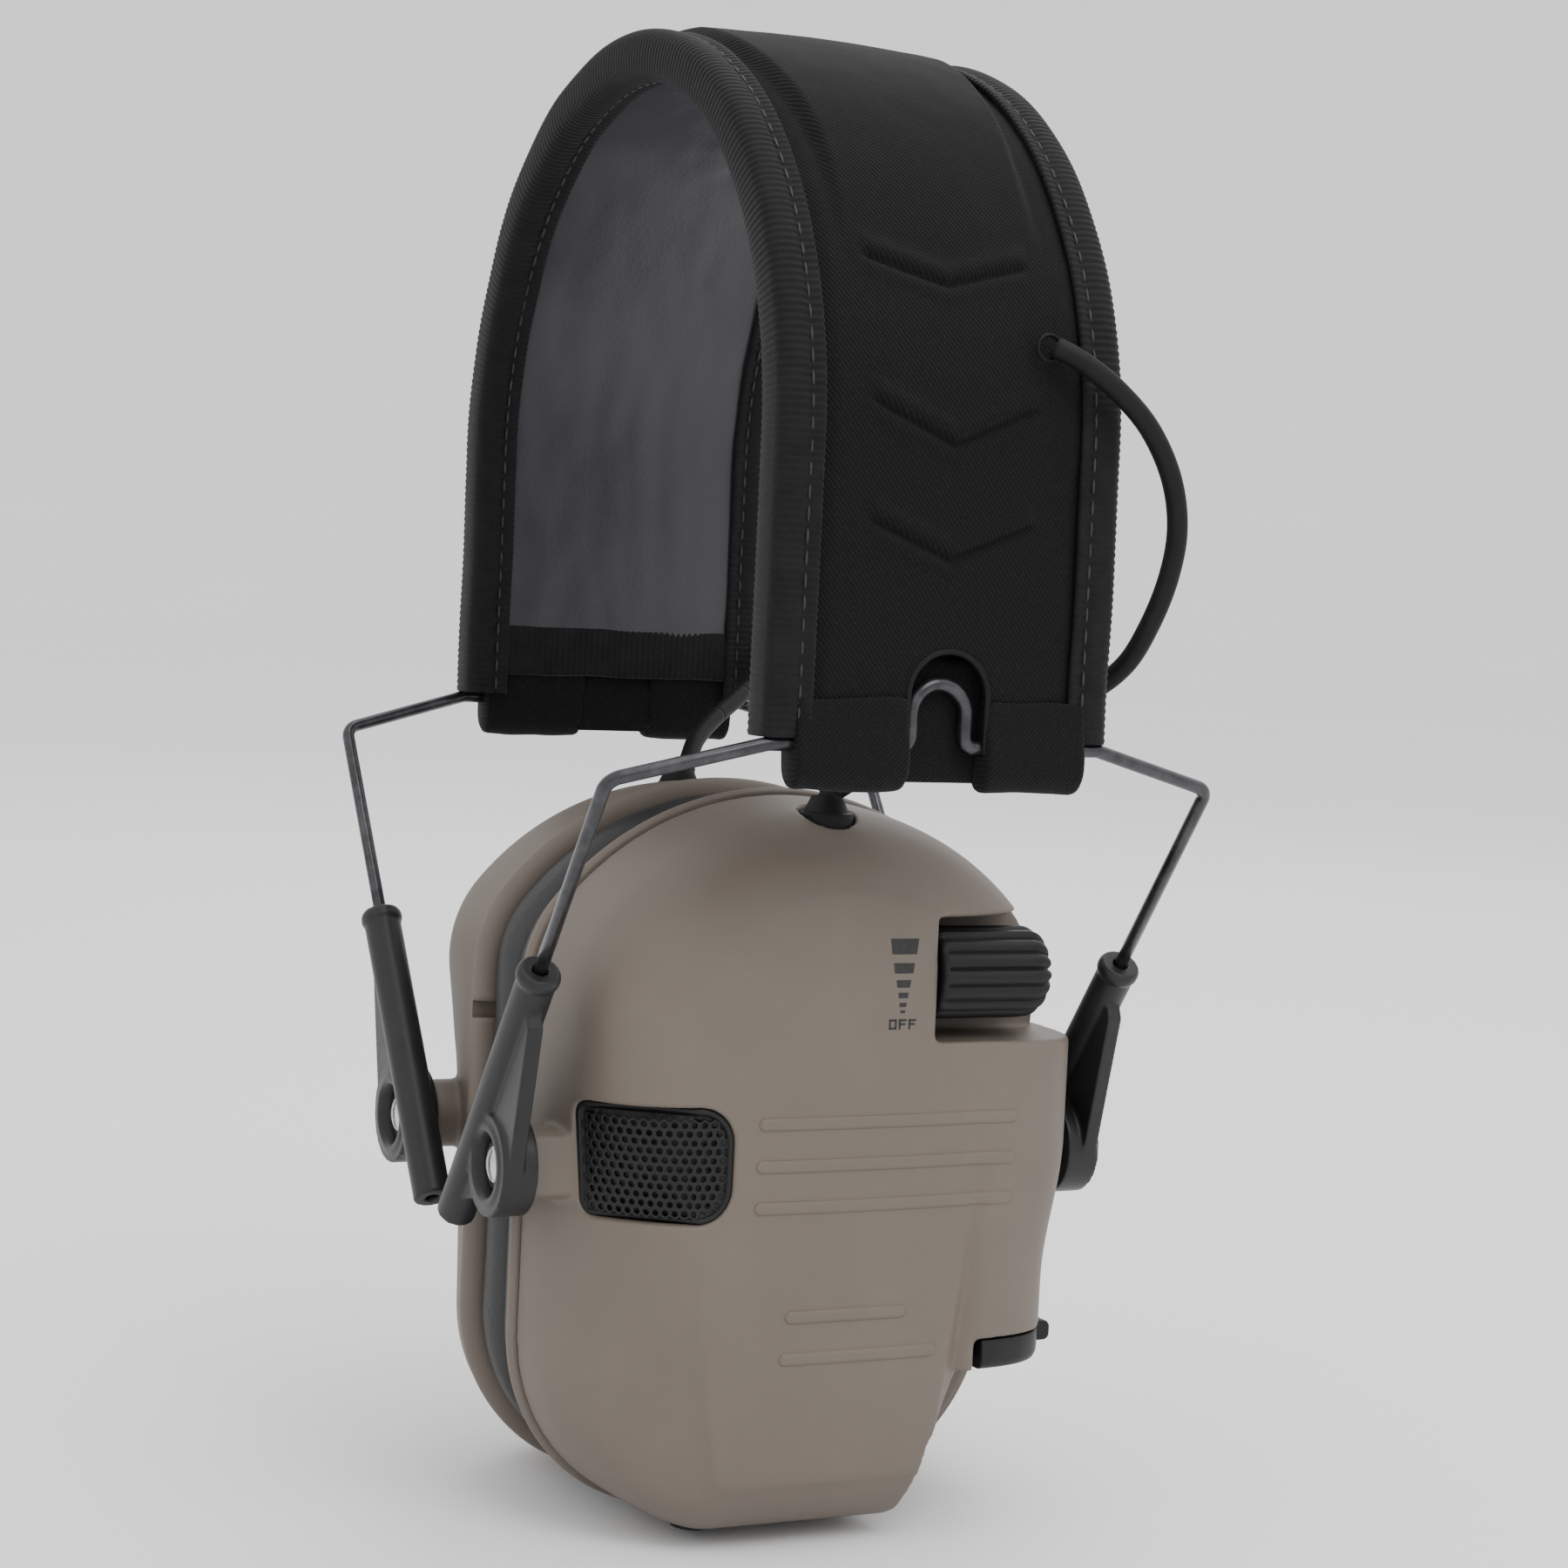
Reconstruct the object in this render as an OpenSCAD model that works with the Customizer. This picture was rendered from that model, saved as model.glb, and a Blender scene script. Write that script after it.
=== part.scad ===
// Folding electronic earmuff: a padded fabric headband, two wire bails and two ear cups.
// The origin is at the crown's inner surface, where the headband rests on the head.
// +X is the wearer's left, +Y is the back of the head and +Z is up. Sizes are in millimetres.

/* [Headband] */
// Inner radius of the arch over the head
arch_r = 55; // [50:1:60]
// Length of each straight end below the arch's centre
strap_leg = 40; // [34:1:46]
// Width of the headband from front to back
band_w = 54; // [48:1:60]
// Height of the raised padded zone on the crown
crown_rise = 1.6; // [1:0.2:3]
// Width of the ribbed edge binding
binding_w = 7.2; // [6:0.1:9]

/* [Wire bails] */
// Diameter of the steel wire
wire_d = 2; // [1.8:0.1:2.2]
// Inward tilt of the wire legs from vertical, in degrees
leg_tilt = 36.5; // [34:0.5:38]
// Drop from the tunnel to the wire's shoulder, along the leg
shoulder_drop = 7; // [6:0.5:8]
// Distance of each wire leg from the middle plane
leg_y = 47.4; // [47:0.1:48]
// Length of each wire leg below its shoulder
leg_len = 76; // [72:1:80]

/* [Sleeves] */
// Distance from the tunnel's axis to the sleeve's top, along the leg
sleeve_top = 42; // [40:1:44]
// Length of each sleeve
sleeve_len = 50; // [46:1:52]
// Outer diameter of the sleeve's tube
sleeve_d = 5.8; // [5.4:0.1:6]
// Distance from the tunnel's axis to the pivot, along the leg
pivot_drop = 74.3; // [72:0.1:76]
// Distance of the pivot from the wire, outwards
pivot_offset = 6.9; // [6.5:0.1:7.5]
// Radius of the pivot's round boss
boss_r = 7.5; // [7:0.1:8]

/* [Ear cups] */
// Distance from the middle plane to the outer face
cup_x = 37.4; // [37:0.1:38]
// Thickness of the plastic shell
wall = 2; // [1.6:0.1:2.4]
// Half of the cup's width
cup_half_w = 39.6; // [39.6:0.1:40]
// Thickness of each ear cushion
cushion_t = 8; // [7.6:0.1:8.2]

/* [Volume knob] */
// Radius of the knob
knob_r = 7.1; // [6.4:0.1:7.2]
// Number of ribs round the knob
knob_ribs = 16; // [14:1:20]

/* [Hidden] */
$fn = 48;
fit_gap = 0.05;
layer_gap = 0.1;

// Headband layers, as thicknesses counted outwards from the inner surface
lining_t = 0.8;
foam_t = 2.6;
spring_t = 0.8;
cover_t = 1.2;
binding_t = 0.9;
lining_r1 = arch_r + lining_t;
foam_r0 = lining_r1 + layer_gap;
foam_r1 = foam_r0 + foam_t;
spring_r0 = foam_r1 + layer_gap;
spring_r1 = spring_r0 + spring_t;
cover_r0 = spring_r1 + layer_gap;
cover_r1 = cover_r0 + cover_t;
half_w = band_w / 2;
inner_half_w = half_w - binding_t - layer_gap;
strap_end_z = -arch_r - strap_leg;

// Tunnel that holds each wire
tunnel_x = 59.9;
tunnel_z = strap_end_z - 1.1;
tunnel_half_w = 22.3;
tunnel_split = 12;
wire_r = wire_d / 2;
kink_r = 4.25;
kink_top = 4.5;
keyhole_r = 6;

// Pivot axis of the cup, found from the leg's geometry
pivot_x = tunnel_x - pivot_drop * sin(leg_tilt) + pivot_offset * cos(leg_tilt);
pivot_z = tunnel_z - pivot_drop * cos(leg_tilt) - pivot_offset * sin(leg_tilt);
pin_r = 2.5;
pin_start = [36.6, 41.3];
boss_y0 = 43.8;
boss_y1 = 49.2;
hub_r = 5.2;

// Stations of the cup, along X from the middle plane
cushion_x0 = 0.15;
rim_x0 = cushion_x0 + cushion_t + 0.1;
rim_x1 = rim_x0 + 3.2;
shell_x0 = rim_x1 + layer_gap;
baffle_x0 = 14;

// Outline of the cup in Y and W, where W is the height above the pivot
low_r = 28;
low_w = -27;
low_y = cup_half_w - low_r;
side_r = 20;
dome_r = 45.7;
dome_w = 7.7;
side_y = cup_half_w - side_r;
side_w = dome_w + sqrt(pow(dome_r - side_r, 2) - pow(side_y, 2));
side_a = atan2(side_w - dome_w, side_y);

// Battery bay, knob pocket and microphone window on the cup
bay_w = [-28.5, 18.8];
bay_y = 25;
bay_centre = [19.3, 25.5];
bay_r = 16.95;
bay_wall = 0.75;
cell_r = 5.25;
cell_len = 44.5;
cell_y = 31.5;
cell_x = [17.85, 28.4];
cell_w0 = -27.2;
knob_x = 31.4;
knob_w = 28.6;
knob_y0 = 15.4;
knob_y1 = 35.8;
pocket = [[24, 14.8, 18.9], [50, 60, 37.3]];
door_hinge_y = 24.4;
door_hinge_w = -30.4;
door_t = 2.6;
hinge_x = [16, 31];
hinge_r = 1.7;
mic_w0 = -7;
mic_w1 = 10;
mic_y0 = -37.6;
mic_y1 = -17;
mic_x0 = 24.6;
grommet_x = 27;
grommet_w = 50;
jack_y = -14;
jack_r = 1.78;
post_places = [[-28, 34], [28, 34], [-26, -36], [6, -47]];
screw_r = 1.3;

// Route of the left cable, from the cup's grommet up to the hole in the cover
cable_r = 1.5;
cable_points = [
    [28, 2, -104], [32, 5, -101], [37, 10, -98], [42, 16, -95], [47, 22, -92], [52, 28, -88.5],
    [56, 32, -84], [59, 34, -78], [61, 35.5, -71], [62.5, 35.5, -64], [64, 33, -57],
    [64.8, 28.5, -50.5], [64.6, 23, -45.5], [63.4, 18, -42], [61.6, 14.5, -40]
];
cable_hole = [60.4, 13.5, -40];

shell_tan = [0.51, 0.46, 0.42];
black_cloth = [0.1, 0.1, 0.11];
dark_plastic = [0.2, 0.2, 0.22];
satin_grey = [0.24, 0.24, 0.27];
steel = [0.7, 0.7, 0.72];

// ---- frames -------------------------------------------------------------------------

// Puts a left-hand shape on the right as well, by mirroring it
module on_side(side) {
    if (side == "left") children();
    else mirror([1, 0, 0]) children();
}

// Frame of a wire leg: origin on the tunnel's axis, -Z down the leg and +X outwards
module leg_frame() {
    translate([tunnel_x, 0, tunnel_z]) rotate([0, leg_tilt, 0]) children();
}

// Frame of the cup: origin on the pivot's height, with X still from the middle plane
module cup_frame() {
    translate([0, 0, pivot_z]) children();
}

// ---- headband shapes ----------------------------------------------------------------

// Arch with two straight ends, drawn as a filled outline of radius r
module arch_outline(r, leg) {
    intersection() {
        circle(r = r, $fn = 96);
        translate([-r, 0]) square([2 * r, r]);
    }
    translate([-r, -leg]) square([2 * r, leg]);
}

// Room for the two tunnels in the layers that end over them
module tunnel_room() {
    for (side = ["left", "right"]) on_side(side)
        translate([tunnel_x - 0.4, tunnel_half_w + 0.1, tunnel_z]) rotate([90, 0, 0])
            cylinder(r = 2.7, h = 2 * tunnel_half_w + 0.2);
}

// A strip of the headband between two radii and two widths, arch and both straight ends
module band_strip(r0, r1, y0, y1, leg = strap_leg) {
    translate([0, y1, -arch_r]) rotate([90, 0, 0]) linear_extrude(y1 - y0) difference() {
        arch_outline(r1, leg);
        arch_outline(r0, leg + 1);
    }
}

// Keyhole through the cover's lower end, round at its top
module keyhole(x0, x1) {
    top = tunnel_z + kink_top + 1;
    translate([x0, 0, top]) rotate([0, 90, 0]) cylinder(r = keyhole_r, h = x1 - x0);
    translate([x0, -keyhole_r, top - 30]) cube([x1 - x0, 2 * keyhole_r, 30]);
}

module outer_cover() {
    color(black_cloth) difference() {
        band_strip(cover_r0, cover_r1, -inner_half_w, inner_half_w);
        for (side = ["left", "right"]) on_side(side) {
            keyhole(cover_r0 - 1, cover_r1 + 1);
            translate(cable_hole - [3, 0, 0]) rotate([0, 90, 0]) cylinder(r = cable_r + 0.1, h = 6);
        }
        tunnel_room();
    }
}

// Raised padded zone over the crown, ended by a plane on each side
module crown_pad() {
    pad_half_w = inner_half_w - binding_w + 0.5;
    color(black_cloth) translate([0, 0, -arch_r]) intersection() {
        rotate([90, 0, 0]) rotate_extrude(angle = 180, $fn = 96)
            translate([cover_r1 + layer_gap, -pad_half_w]) square([crown_rise, 2 * pad_half_w]);
        translate([-80, -30, 26]) cube([160, 60, 60]);
    }
}

module foam_pad() {
    color([0.15, 0.15, 0.16])
        band_strip(foam_r0, foam_r1, -inner_half_w, inner_half_w, strap_leg - 13);
}

module spring_band() {
    color(steel) band_strip(spring_r0, spring_r1, -20, 20, strap_leg - 15);
}

module lining() {
    color([0.25, 0.25, 0.29]) band_strip(arch_r, lining_r1, -inner_half_w, inner_half_w);
}

// Folded ribbed tape over one edge: a wall along the edge and a lip on each face
module binding(side) {
    y = side * (half_w - binding_t / 2);
    lip = side * (half_w - binding_w / 2);
    color(black_cloth) difference() {
        union() {
            band_strip(arch_r - binding_t, cover_r1 + binding_t, y - binding_t / 2, y + binding_t / 2);
            for (r = [arch_r - binding_t, cover_r1 + layer_gap])
                band_strip(r, r + binding_t - layer_gap, lip - binding_w / 2, lip + binding_w / 2);
        }
        tunnel_room();
    }
}

// Tape sewn across the lining's lower end
module hem_tape(side) {
    color(black_cloth) on_side(side)
        translate([arch_r - 0.6, half_w * -1 + binding_w + 0.2, strap_end_z + 3])
            cube([0.5, band_w - 2 * binding_w - 0.4, 8]);
}

// ---- wire tunnels and bails ---------------------------------------------------------

// Cross-section of the rolled cloth round the wire
module tunnel_section() {
    circle(r = 2.6);
    translate([0, -3.2]) circle(r = 2.6);
    translate([-2.6, -3.2]) square([5.2, 3.2]);
}

module wire_tunnel(side) {
    color(black_cloth) on_side(side) translate([tunnel_x - 0.4, 0, tunnel_z]) {
        for (y0 = [-tunnel_half_w, keyhole_r])
            translate([0, y0 + tunnel_half_w - keyhole_r, 0]) rotate([90, 0, 0])
                difference() {
                    linear_extrude(tunnel_half_w - keyhole_r) tunnel_section();
                    translate([0.4, 0, -1]) cylinder(r = wire_r + 0.3, h = tunnel_half_w);
                }
        translate([-2.6, -keyhole_r, -5.4]) cube([1.1, 2 * keyhole_r, 6.5]);
    }
}

module rod(a, b, r) {
    d = b - a;
    h = norm(d);
    translate(a) rotate([0, acos(d[2] / h), atan2(d[1], d[0])]) cylinder(r = r, h = h);
}

// U-shaped middle of the wire, held in the keyhole, with its two ends in the tunnel
module bail_kink(side) {
    color(satin_grey) on_side(side) translate([tunnel_x, 0, tunnel_z]) {
        for (s = [-1, 1]) {
            rod([0, s * (tunnel_split - 0.05), 0], [0, s * kink_r, 0], wire_r);
            rod([0, s * kink_r, 0], [0, s * kink_r, kink_top], wire_r);
            translate([0, s * kink_r, 0]) sphere(wire_r + 0.04);
        }
        translate([0, 0, kink_top]) rotate([90, 0, 90]) rotate_extrude(angle = 180)
            translate([kink_r, 0]) circle(wire_r);
    }
}

module wire_bail(side) {
    exit_y = tunnel_half_w + 3.5;
    color(satin_grey) on_side(side) leg_frame() for (s = [-1, 1]) {
        exit = [0, s * exit_y, 0];
        shoulder = [0, s * leg_y, -shoulder_drop];
        rod([0, s * (tunnel_split + 0.05), 0], exit, wire_r);
        rod(exit, shoulder, wire_r);
        rod(shoulder, shoulder - [0, 0, leg_len], wire_r);
        for (p = [exit, shoulder]) translate(p) sphere(wire_r + 0.04);
    }
}

// ---- sleeves and pivots -------------------------------------------------------------

// Sleeve on the rear leg: a tube on the wire, a flat web and the round pivot boss
module sleeve_shape(bore_r) {
    web_t = 2.4;
    leg_frame() difference() {
        union() {
            translate([0, leg_y, -sleeve_top - sleeve_len]) cylinder(d = sleeve_d, h = sleeve_len);
            translate([pivot_offset, boss_y1, -pivot_drop]) rotate([90, 0, 0])
                cylinder(r = boss_r, h = boss_y1 - boss_y0);
            translate([0, leg_y - web_t / 2, -pivot_drop]) rotate([90, 0, 0]) translate([0, 0, -web_t])
                linear_extrude(web_t) polygon([[0, 28], [4.6, 25], [pivot_offset + boss_r - 0.6, 3],
                    [pivot_offset, -boss_r + 0.4], [0, -15]]);
        }
        translate([0, leg_y, -sleeve_top - sleeve_len - 1])
            cylinder(r = wire_r + fit_gap, h = sleeve_len + 2);
        translate([pivot_offset, boss_y1 + 1, -pivot_drop]) rotate([90, 0, 0])
            cylinder(r = bore_r, h = 10);
        translate([pivot_offset, boss_y1 + 1, -pivot_drop]) rotate([90, 0, 0])
            cylinder(r = 4.2, h = 2.6);
    }
}

module front_sleeve(side) {
    color(satin_grey) on_side(side) mirror([0, 1, 0]) sleeve_shape(pin_r + fit_gap);
}

module rear_sleeve(side) {
    color(satin_grey) on_side(side) sleeve_shape(pin_r + 0.35);
}

// Two headed pins with slotted heads, one at the front and one at the back
module pivot_pins(side) {
    head_y0 = boss_y1 - 1.5;
    color(steel) on_side(side) for (i = [0, 1]) mirror([0, 1 - i, 0])
        translate([pivot_x, 0, pivot_z]) difference() {
            union() {
                translate([0, head_y0, 0]) rotate([90, 0, 0])
                    cylinder(r = pin_r, h = head_y0 - pin_start[i]);
                translate([0, head_y0 + 1, 0]) rotate([90, 0, 0]) cylinder(r = 3.7, h = 1);
            }
            translate([-5, head_y0 + 0.4, -0.5]) cube([10, 2, 1]);
        }
}

// ---- cup shapes ---------------------------------------------------------------------

// Points of an arc, from angle a0 to a1
function arc(c, r, a0, a1, n) =
    [for (i = [0 : n]) let (a = a0 + (a1 - a0) * i / n) c + r * [cos(a), sin(a)]];

// Right half of the cup's outline: domed top, straight side and a rounded lower corner.
// e moves the top and side inwards, and k moves the side in towards a pointed lower corner.
function half_outline(e, k) =
    let (r = max(low_r - e - k, 3),
        lift = k == 0 ? e : e < 2 ? 0.5 * e : 0.8 * e - 0.6,
        low = [low_y + 0.22 * k, low_w - low_r + r + lift],
        lean = atan2(side_y + side_r - e - low[0] - r, side_w - low[1]))
    concat(
        arc(low, r, -90, -lean, 9),
        arc([side_y, side_w], side_r - e, -lean, side_a, 5),
        arc([0, dome_w], dome_r - e, side_a + 5, 90, 8));
function outline(e, k = 0) = let (h = half_outline(e, k), n = len(h))
    concat(h, [for (i = [n - 2 : -1 : 0]) [-h[i][0], h[i][1]]]);

// Rings of the cup's outer surface, each as distance along X, inset e, corner k and scale
rings = [
    [0, 0, 0.01, 1], [7, 0.2, 2, 1], [14, 0.9, 8, 1], [17.5, 2, 13, 1], [20.5, 3.9, 17, 1],
    [22.9, 7, 17.5, 1], [24.4, 11, 15, 1], [25.2, 15.5, 11, 1], [25.8, 15.5, 11, 0.5]
];

function ring_points(x, e, k, scale) =
    [for (p = outline(e, k)) [x, scale * p[0], scale * (p[1] - 4) + 4]];

// Closed solid between rings of equal length
module loft(ring_list) {
    n = len(ring_list[0]);
    m = len(ring_list);
    points = [for (r = ring_list) each r];
    sides = [for (j = [0 : m - 2], i = [0 : n - 1]) let (k = (i + 1) % n) each
        [[j * n + i, (j + 1) * n + i, j * n + k], [j * n + k, (j + 1) * n + i, (j + 1) * n + k]]];
    polyhedron(points, concat([[for (i = [0 : n - 1]) i]], sides,
        [[for (i = [n - 1 : -1 : 0]) (m - 1) * n + i]]), convexity = 4);
}

// Solid body of the cup, drawn in from its outer surface by d
module cup_body(d) {
    grow = cup_x - shell_x0 - 25.8;
    loft([for (r = rings)
        ring_points(shell_x0 + (r[0] == 0 ? -d : r[0] - d + grow), r[1] + min(d, 3), r[2], r[3])]);
}

// Flat slab with the cup's outline
module cup_slab(e, x0, x1) {
    translate([x0, 0, 0]) rotate([90, 0, 90]) linear_extrude(x1 - x0) polygon(outline(e));
}

// Solid ring along the outline, with a rounded section of the given width and thickness
module cup_ring(e, width, x0, x1) {
    sides = 12;
    n = len(outline(0));
    section = [for (j = [0 : sides - 1]) let (a = 360 * (j + 0.5) / sides, c = cos(a), s = sin(a))
        [e + width / 2 + width / 2 * sign(c) * pow(abs(c), 0.6),
            (x0 + x1) / 2 + (x1 - x0) / 2 * sign(s) * pow(abs(s), 0.6) / pow(sin(75), 0.6)]];
    points = [for (q = section) each [for (p = outline(q[0])) [q[1], p[0], p[1]]]];
    faces = [for (j = [0 : sides - 1], i = [0 : n - 1])
        let (k = (i + 1) % n, u = (j + 1) % sides) each
            [[j * n + i, j * n + k, u * n + i], [j * n + k, u * n + k, u * n + i]]];
    polyhedron(points, faces, convexity = 6);
}

module box(b) {
    translate(b[0]) cube(b[1] - b[0]);
}

// Box grown by g on every side
function grown(b, g) = [b[0] - [g, g, g], b[1] + [g, g, g]];

// Rounded rectangle from two corners, extruded along X
module round_window(x0, x1, y0, y1, w0, w1, r) {
    translate([x0, 0, 0]) rotate([90, 0, 90]) linear_extrude(x1 - x0) {
        translate([y0 + r, w0]) square([y1 - y0 - 2 * r, w1 - w0]);
        translate([y0, w0 + r]) square([y1 - y0, w1 - w0 - 2 * r]);
        for (y = [y0 + r, y1 - r], w = [w0 + r, w1 - r]) translate([y, w]) circle(r);
    }
}

module mic_window(g) {
    round_window(mic_x0 - g, 44, mic_y0 - g, mic_y1 + g, mic_w0 - g, mic_w1 + g, 4);
}

// Outline of the battery bay from below, moved in by d: square inside and round at its outer corner
module bay_section(d) {
    intersection() {
        union() {
            translate(bay_centre) circle(r = bay_r - d, $fn = 96);
            translate([shell_x0 + d, bay_y + d])
                square([bay_centre[0] - shell_x0 - d, bay_centre[1] + bay_r - bay_y - 2 * d]);
        }
        translate([shell_x0 + d, bay_y + d]) square([2 * bay_r, 2 * bay_r]);
    }
}

// Solid battery bay, moved in by d on every side and by a further drop at its lower end
module bay_block(d, drop = 0) {
    translate([0, 0, bay_w[0] + d - drop]) linear_extrude(bay_w[1] - bay_w[0] - 2 * d + drop)
        bay_section(d);
}

// Seat of the closed battery door, with room for its hinge's barrel and pin
module door_seat() {
    box([[12.3, door_hinge_y + 1, -31.7], [50, 50, bay_w[0] - 0.1]]);
    translate([hinge_x[0] - 0.3, door_hinge_y, door_hinge_w]) rotate([0, 90, 0])
        cylinder(r = hinge_r + 0.3, h = hinge_x[1] - hinge_x[0] + 0.6);
    translate([12.9, door_hinge_y, door_hinge_w]) rotate([0, 90, 0])
        cylinder(r = 0.8 + fit_gap, h = 19.4);
}

// Space under the battery door, which the open door swings into
module door_recess(g) {
    translate([12 - g, 0, 0]) rotate([90, 0, 90]) linear_extrude(40) polygon([
        [23 - g, -31.6 + g], [50, -31.6 + g], [50, -70], [13 - g, -70], [16.5 - g, -46]]);
}

// Hubs inside the shell that the pivot pins turn in, and the flats outside them
module pivot_hubs() {
    for (s = [-1, 1]) scale([1, s, 1]) translate([pivot_x, 43.5, 0]) rotate([90, 0, 0])
        cylinder(r = hub_r, h = 43.5 - 36.6);
}

module pin_holes() {
    for (s = [-1, 1]) scale([1, s, 1]) translate([pivot_x, 44, 0]) rotate([90, 0, 0])
        cylinder(r = pin_r, h = 20);
}

// Raised bars on the outer face: y from, y to, height above the pivot
face_bars = [[-13.5, 29.7, 7.5], [-13.7, 29.5, 1.3], [-13.7, 29.4, -4.8],
    [-8, 12, -21], [-8.6, 17.6, -27.2]];

// Places the four posts that the rim ring is screwed to, as cylinders of radius r
module screw_posts(r, x0 = shell_x0, x1 = 21) {
    for (p = post_places) translate([x0, p[0], p[1]]) rotate([0, 90, 0]) cylinder(r = r, h = x1 - x0);
}

module shell_bars() {
    intersection() {
        cup_body(-0.45);
        for (b = face_bars) translate([cup_x - 8, b[0], b[2] - 0.9]) cube([12, b[1] - b[0], 1.8]);
    }
}

module shell_base(side) {
    difference() {
        union() {
            cup_body(0);
            pivot_hubs();
            shell_bars();
            if (side == "left") bay_block(0);
        }
        difference() {
            cup_body(wall);
            if (side == "left") {
                bay_block(0);
                box(grown(pocket, 1.6));
                door_recess(1.8);
            }
            pivot_hubs();
            screw_posts(2.6, shell_x0 - 3, 44);
        }
    }
}

module cup_shell(side) {
    color(shell_tan) on_side(side) cup_frame() difference() {
        shell_base(side);
        pin_holes();
        mic_window(0);
        screw_posts(screw_r, shell_x0 - 1, 20);
        translate([grommet_x, 0, grommet_w - 6]) cylinder(r = 4.2, h = 12);
        if (side == "left") {
            box(pocket);
            bay_block(bay_wall, 6);
            door_recess(0);
            door_seat();
            translate([knob_x, 12.5, knob_w]) rotate([-90, 0, 0]) cylinder(r = 1.6, h = 3);
            translate([22, jack_y, -60]) cylinder(r = 3.6, h = 20);
        }
    }
}

module rim_ring(side) {
    color(shell_tan) on_side(side) cup_frame() difference() {
        cup_ring(-0.9, 16.4, rim_x0, rim_x1);
        cup_slab(14, rim_x0 - 1, rim_x1 + 1);
        screw_posts(screw_r + 0.1, rim_x0 - 1, rim_x1 + 1);
        screw_posts(2.7, rim_x0 - 1, rim_x0 + 1.6);
    }
}

module ear_cushion(side) {
    color(dark_plastic) on_side(side) cup_frame() cup_ring(1.2, 13.4, cushion_x0, rim_x0 - 0.1);
}

module foam_liner(side) {
    color([0.16, 0.16, 0.17]) on_side(side) cup_frame() difference() {
        cup_slab(5, shell_x0 + 0.2, baffle_x0 - 0.1);
        screw_posts(2.8, shell_x0 - 1);
        if (side == "left") {
            bay_block(-0.2, 4);
            door_recess(2);
        }
    }
}

module speaker_baffle(side) {
    color(dark_plastic) on_side(side) cup_frame() difference() {
        cup_slab(5, baffle_x0, baffle_x0 + 1.8);
        translate([baffle_x0 - 1, -3, 4]) rotate([0, 90, 0]) cylinder(r = 17, h = 4);
        if (side == "left") {
            box([[baffle_x0 - 1, 24, -32], [baffle_x0 + 4, 45, 20]]);
            door_recess(2.4);
        }
        screw_posts(2.8, shell_x0 - 1);
    }
}

// Loudspeaker: basket, magnet and a front rim
module speaker(side) {
    color([0.3, 0.3, 0.32]) on_side(side) cup_frame() translate([baffle_x0 + 0.2, -3, 4])
        rotate([0, 90, 0]) {
            cylinder(r = 16.8, h = 3);
            translate([0, 0, 3]) cylinder(r1 = 16.8, r2 = 9, h = 2.4);
            translate([0, 0, 5.4]) cylinder(r = 8.4, h = 2.4);
        }
}

module circuit_board(side) {
    color([0.1, 0.35, 0.2]) on_side(side) cup_frame() difference() {
        box([[23.2, -26, -26], [24.6, 13, 17.5]]);
        for (y = [-22, 9], w = [-22, 13.5]) translate([22, y, w]) rotate([0, 90, 0])
            cylinder(r = 1.3, h = 4);
    }
}

module mic_bezel(side) {
    color(dark_plastic) on_side(side) cup_frame() intersection() {
        difference() {
            cup_body(0.1);
            cup_body(1.7);
        }
        difference() {
            mic_window(-0.1);
            mic_window(-1.3);
        }
    }
}

module mic_mesh(side) {
    color([0.12, 0.12, 0.13]) on_side(side) cup_frame() intersection() {
        difference() {
            cup_body(0.5);
            cup_body(1.2);
        }
        mic_window(-1.4);
    }
}

module mic_capsule(side) {
    color(steel) on_side(side) cup_frame() translate([26.4, -26.5, 1.5]) rotate([90, 0, 30])
        cylinder(r = 3, h = 3);
}

// Rubber grommet in the shell's top, with a tapered neck along the cable
module cable_grommet(side) {
    color(dark_plastic) on_side(side) cup_frame() translate([grommet_x, 0, grommet_w - 4]) {
        cylinder(r = 4.1, h = 6);
        translate([0, 0, 6]) cylinder(r1 = 3.4, r2 = 2.2, h = 2.6);
        rod([0, 0, 7.8], cable_points[0] - [grommet_x + 0.4, 0.8, pivot_z + grommet_w - 3.15], 2.1);
    }
}

// Four screws that hold the rim ring to the shell's posts
module shell_screws(side) {
    color(steel) on_side(side) cup_frame() {
        screw_posts(screw_r - 0.05, rim_x0 + 0.4, 19);
        screw_posts(2.4, rim_x0 + 0.3, rim_x0 + 1.5);
    }
}

// ---- controls and power on the left cup ---------------------------------------------

module volume_knob() {
    color(dark_plastic) cup_frame() translate([knob_x, knob_y1, knob_w]) rotate([90, 0, 0])
        difference() {
            union() {
                cylinder(r = knob_r - 0.7, h = knob_y1 - knob_y0);
                for (i = [0 : knob_ribs - 1]) rotate(360 * i / knob_ribs)
                    translate([knob_r - 0.9, 0, 1.2]) cylinder(r = 0.9, h = knob_y1 - knob_y0 - 1.2);
            }
            translate([0, 0, knob_y1 - knob_y0 - 8]) cylinder(r = 1.6, h = 9);
        }
}

// Volume control with its shaft, which passes through the pocket's wall into the knob
module potentiometer() {
    color(steel) cup_frame() translate([knob_x, 13, knob_w]) {
        translate([-6, -7, -6]) cube([8.6, 7, 12]);
        rotate([-90, 0, 0]) cylinder(r = 1.5, h = 9.6);
    }
}

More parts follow.
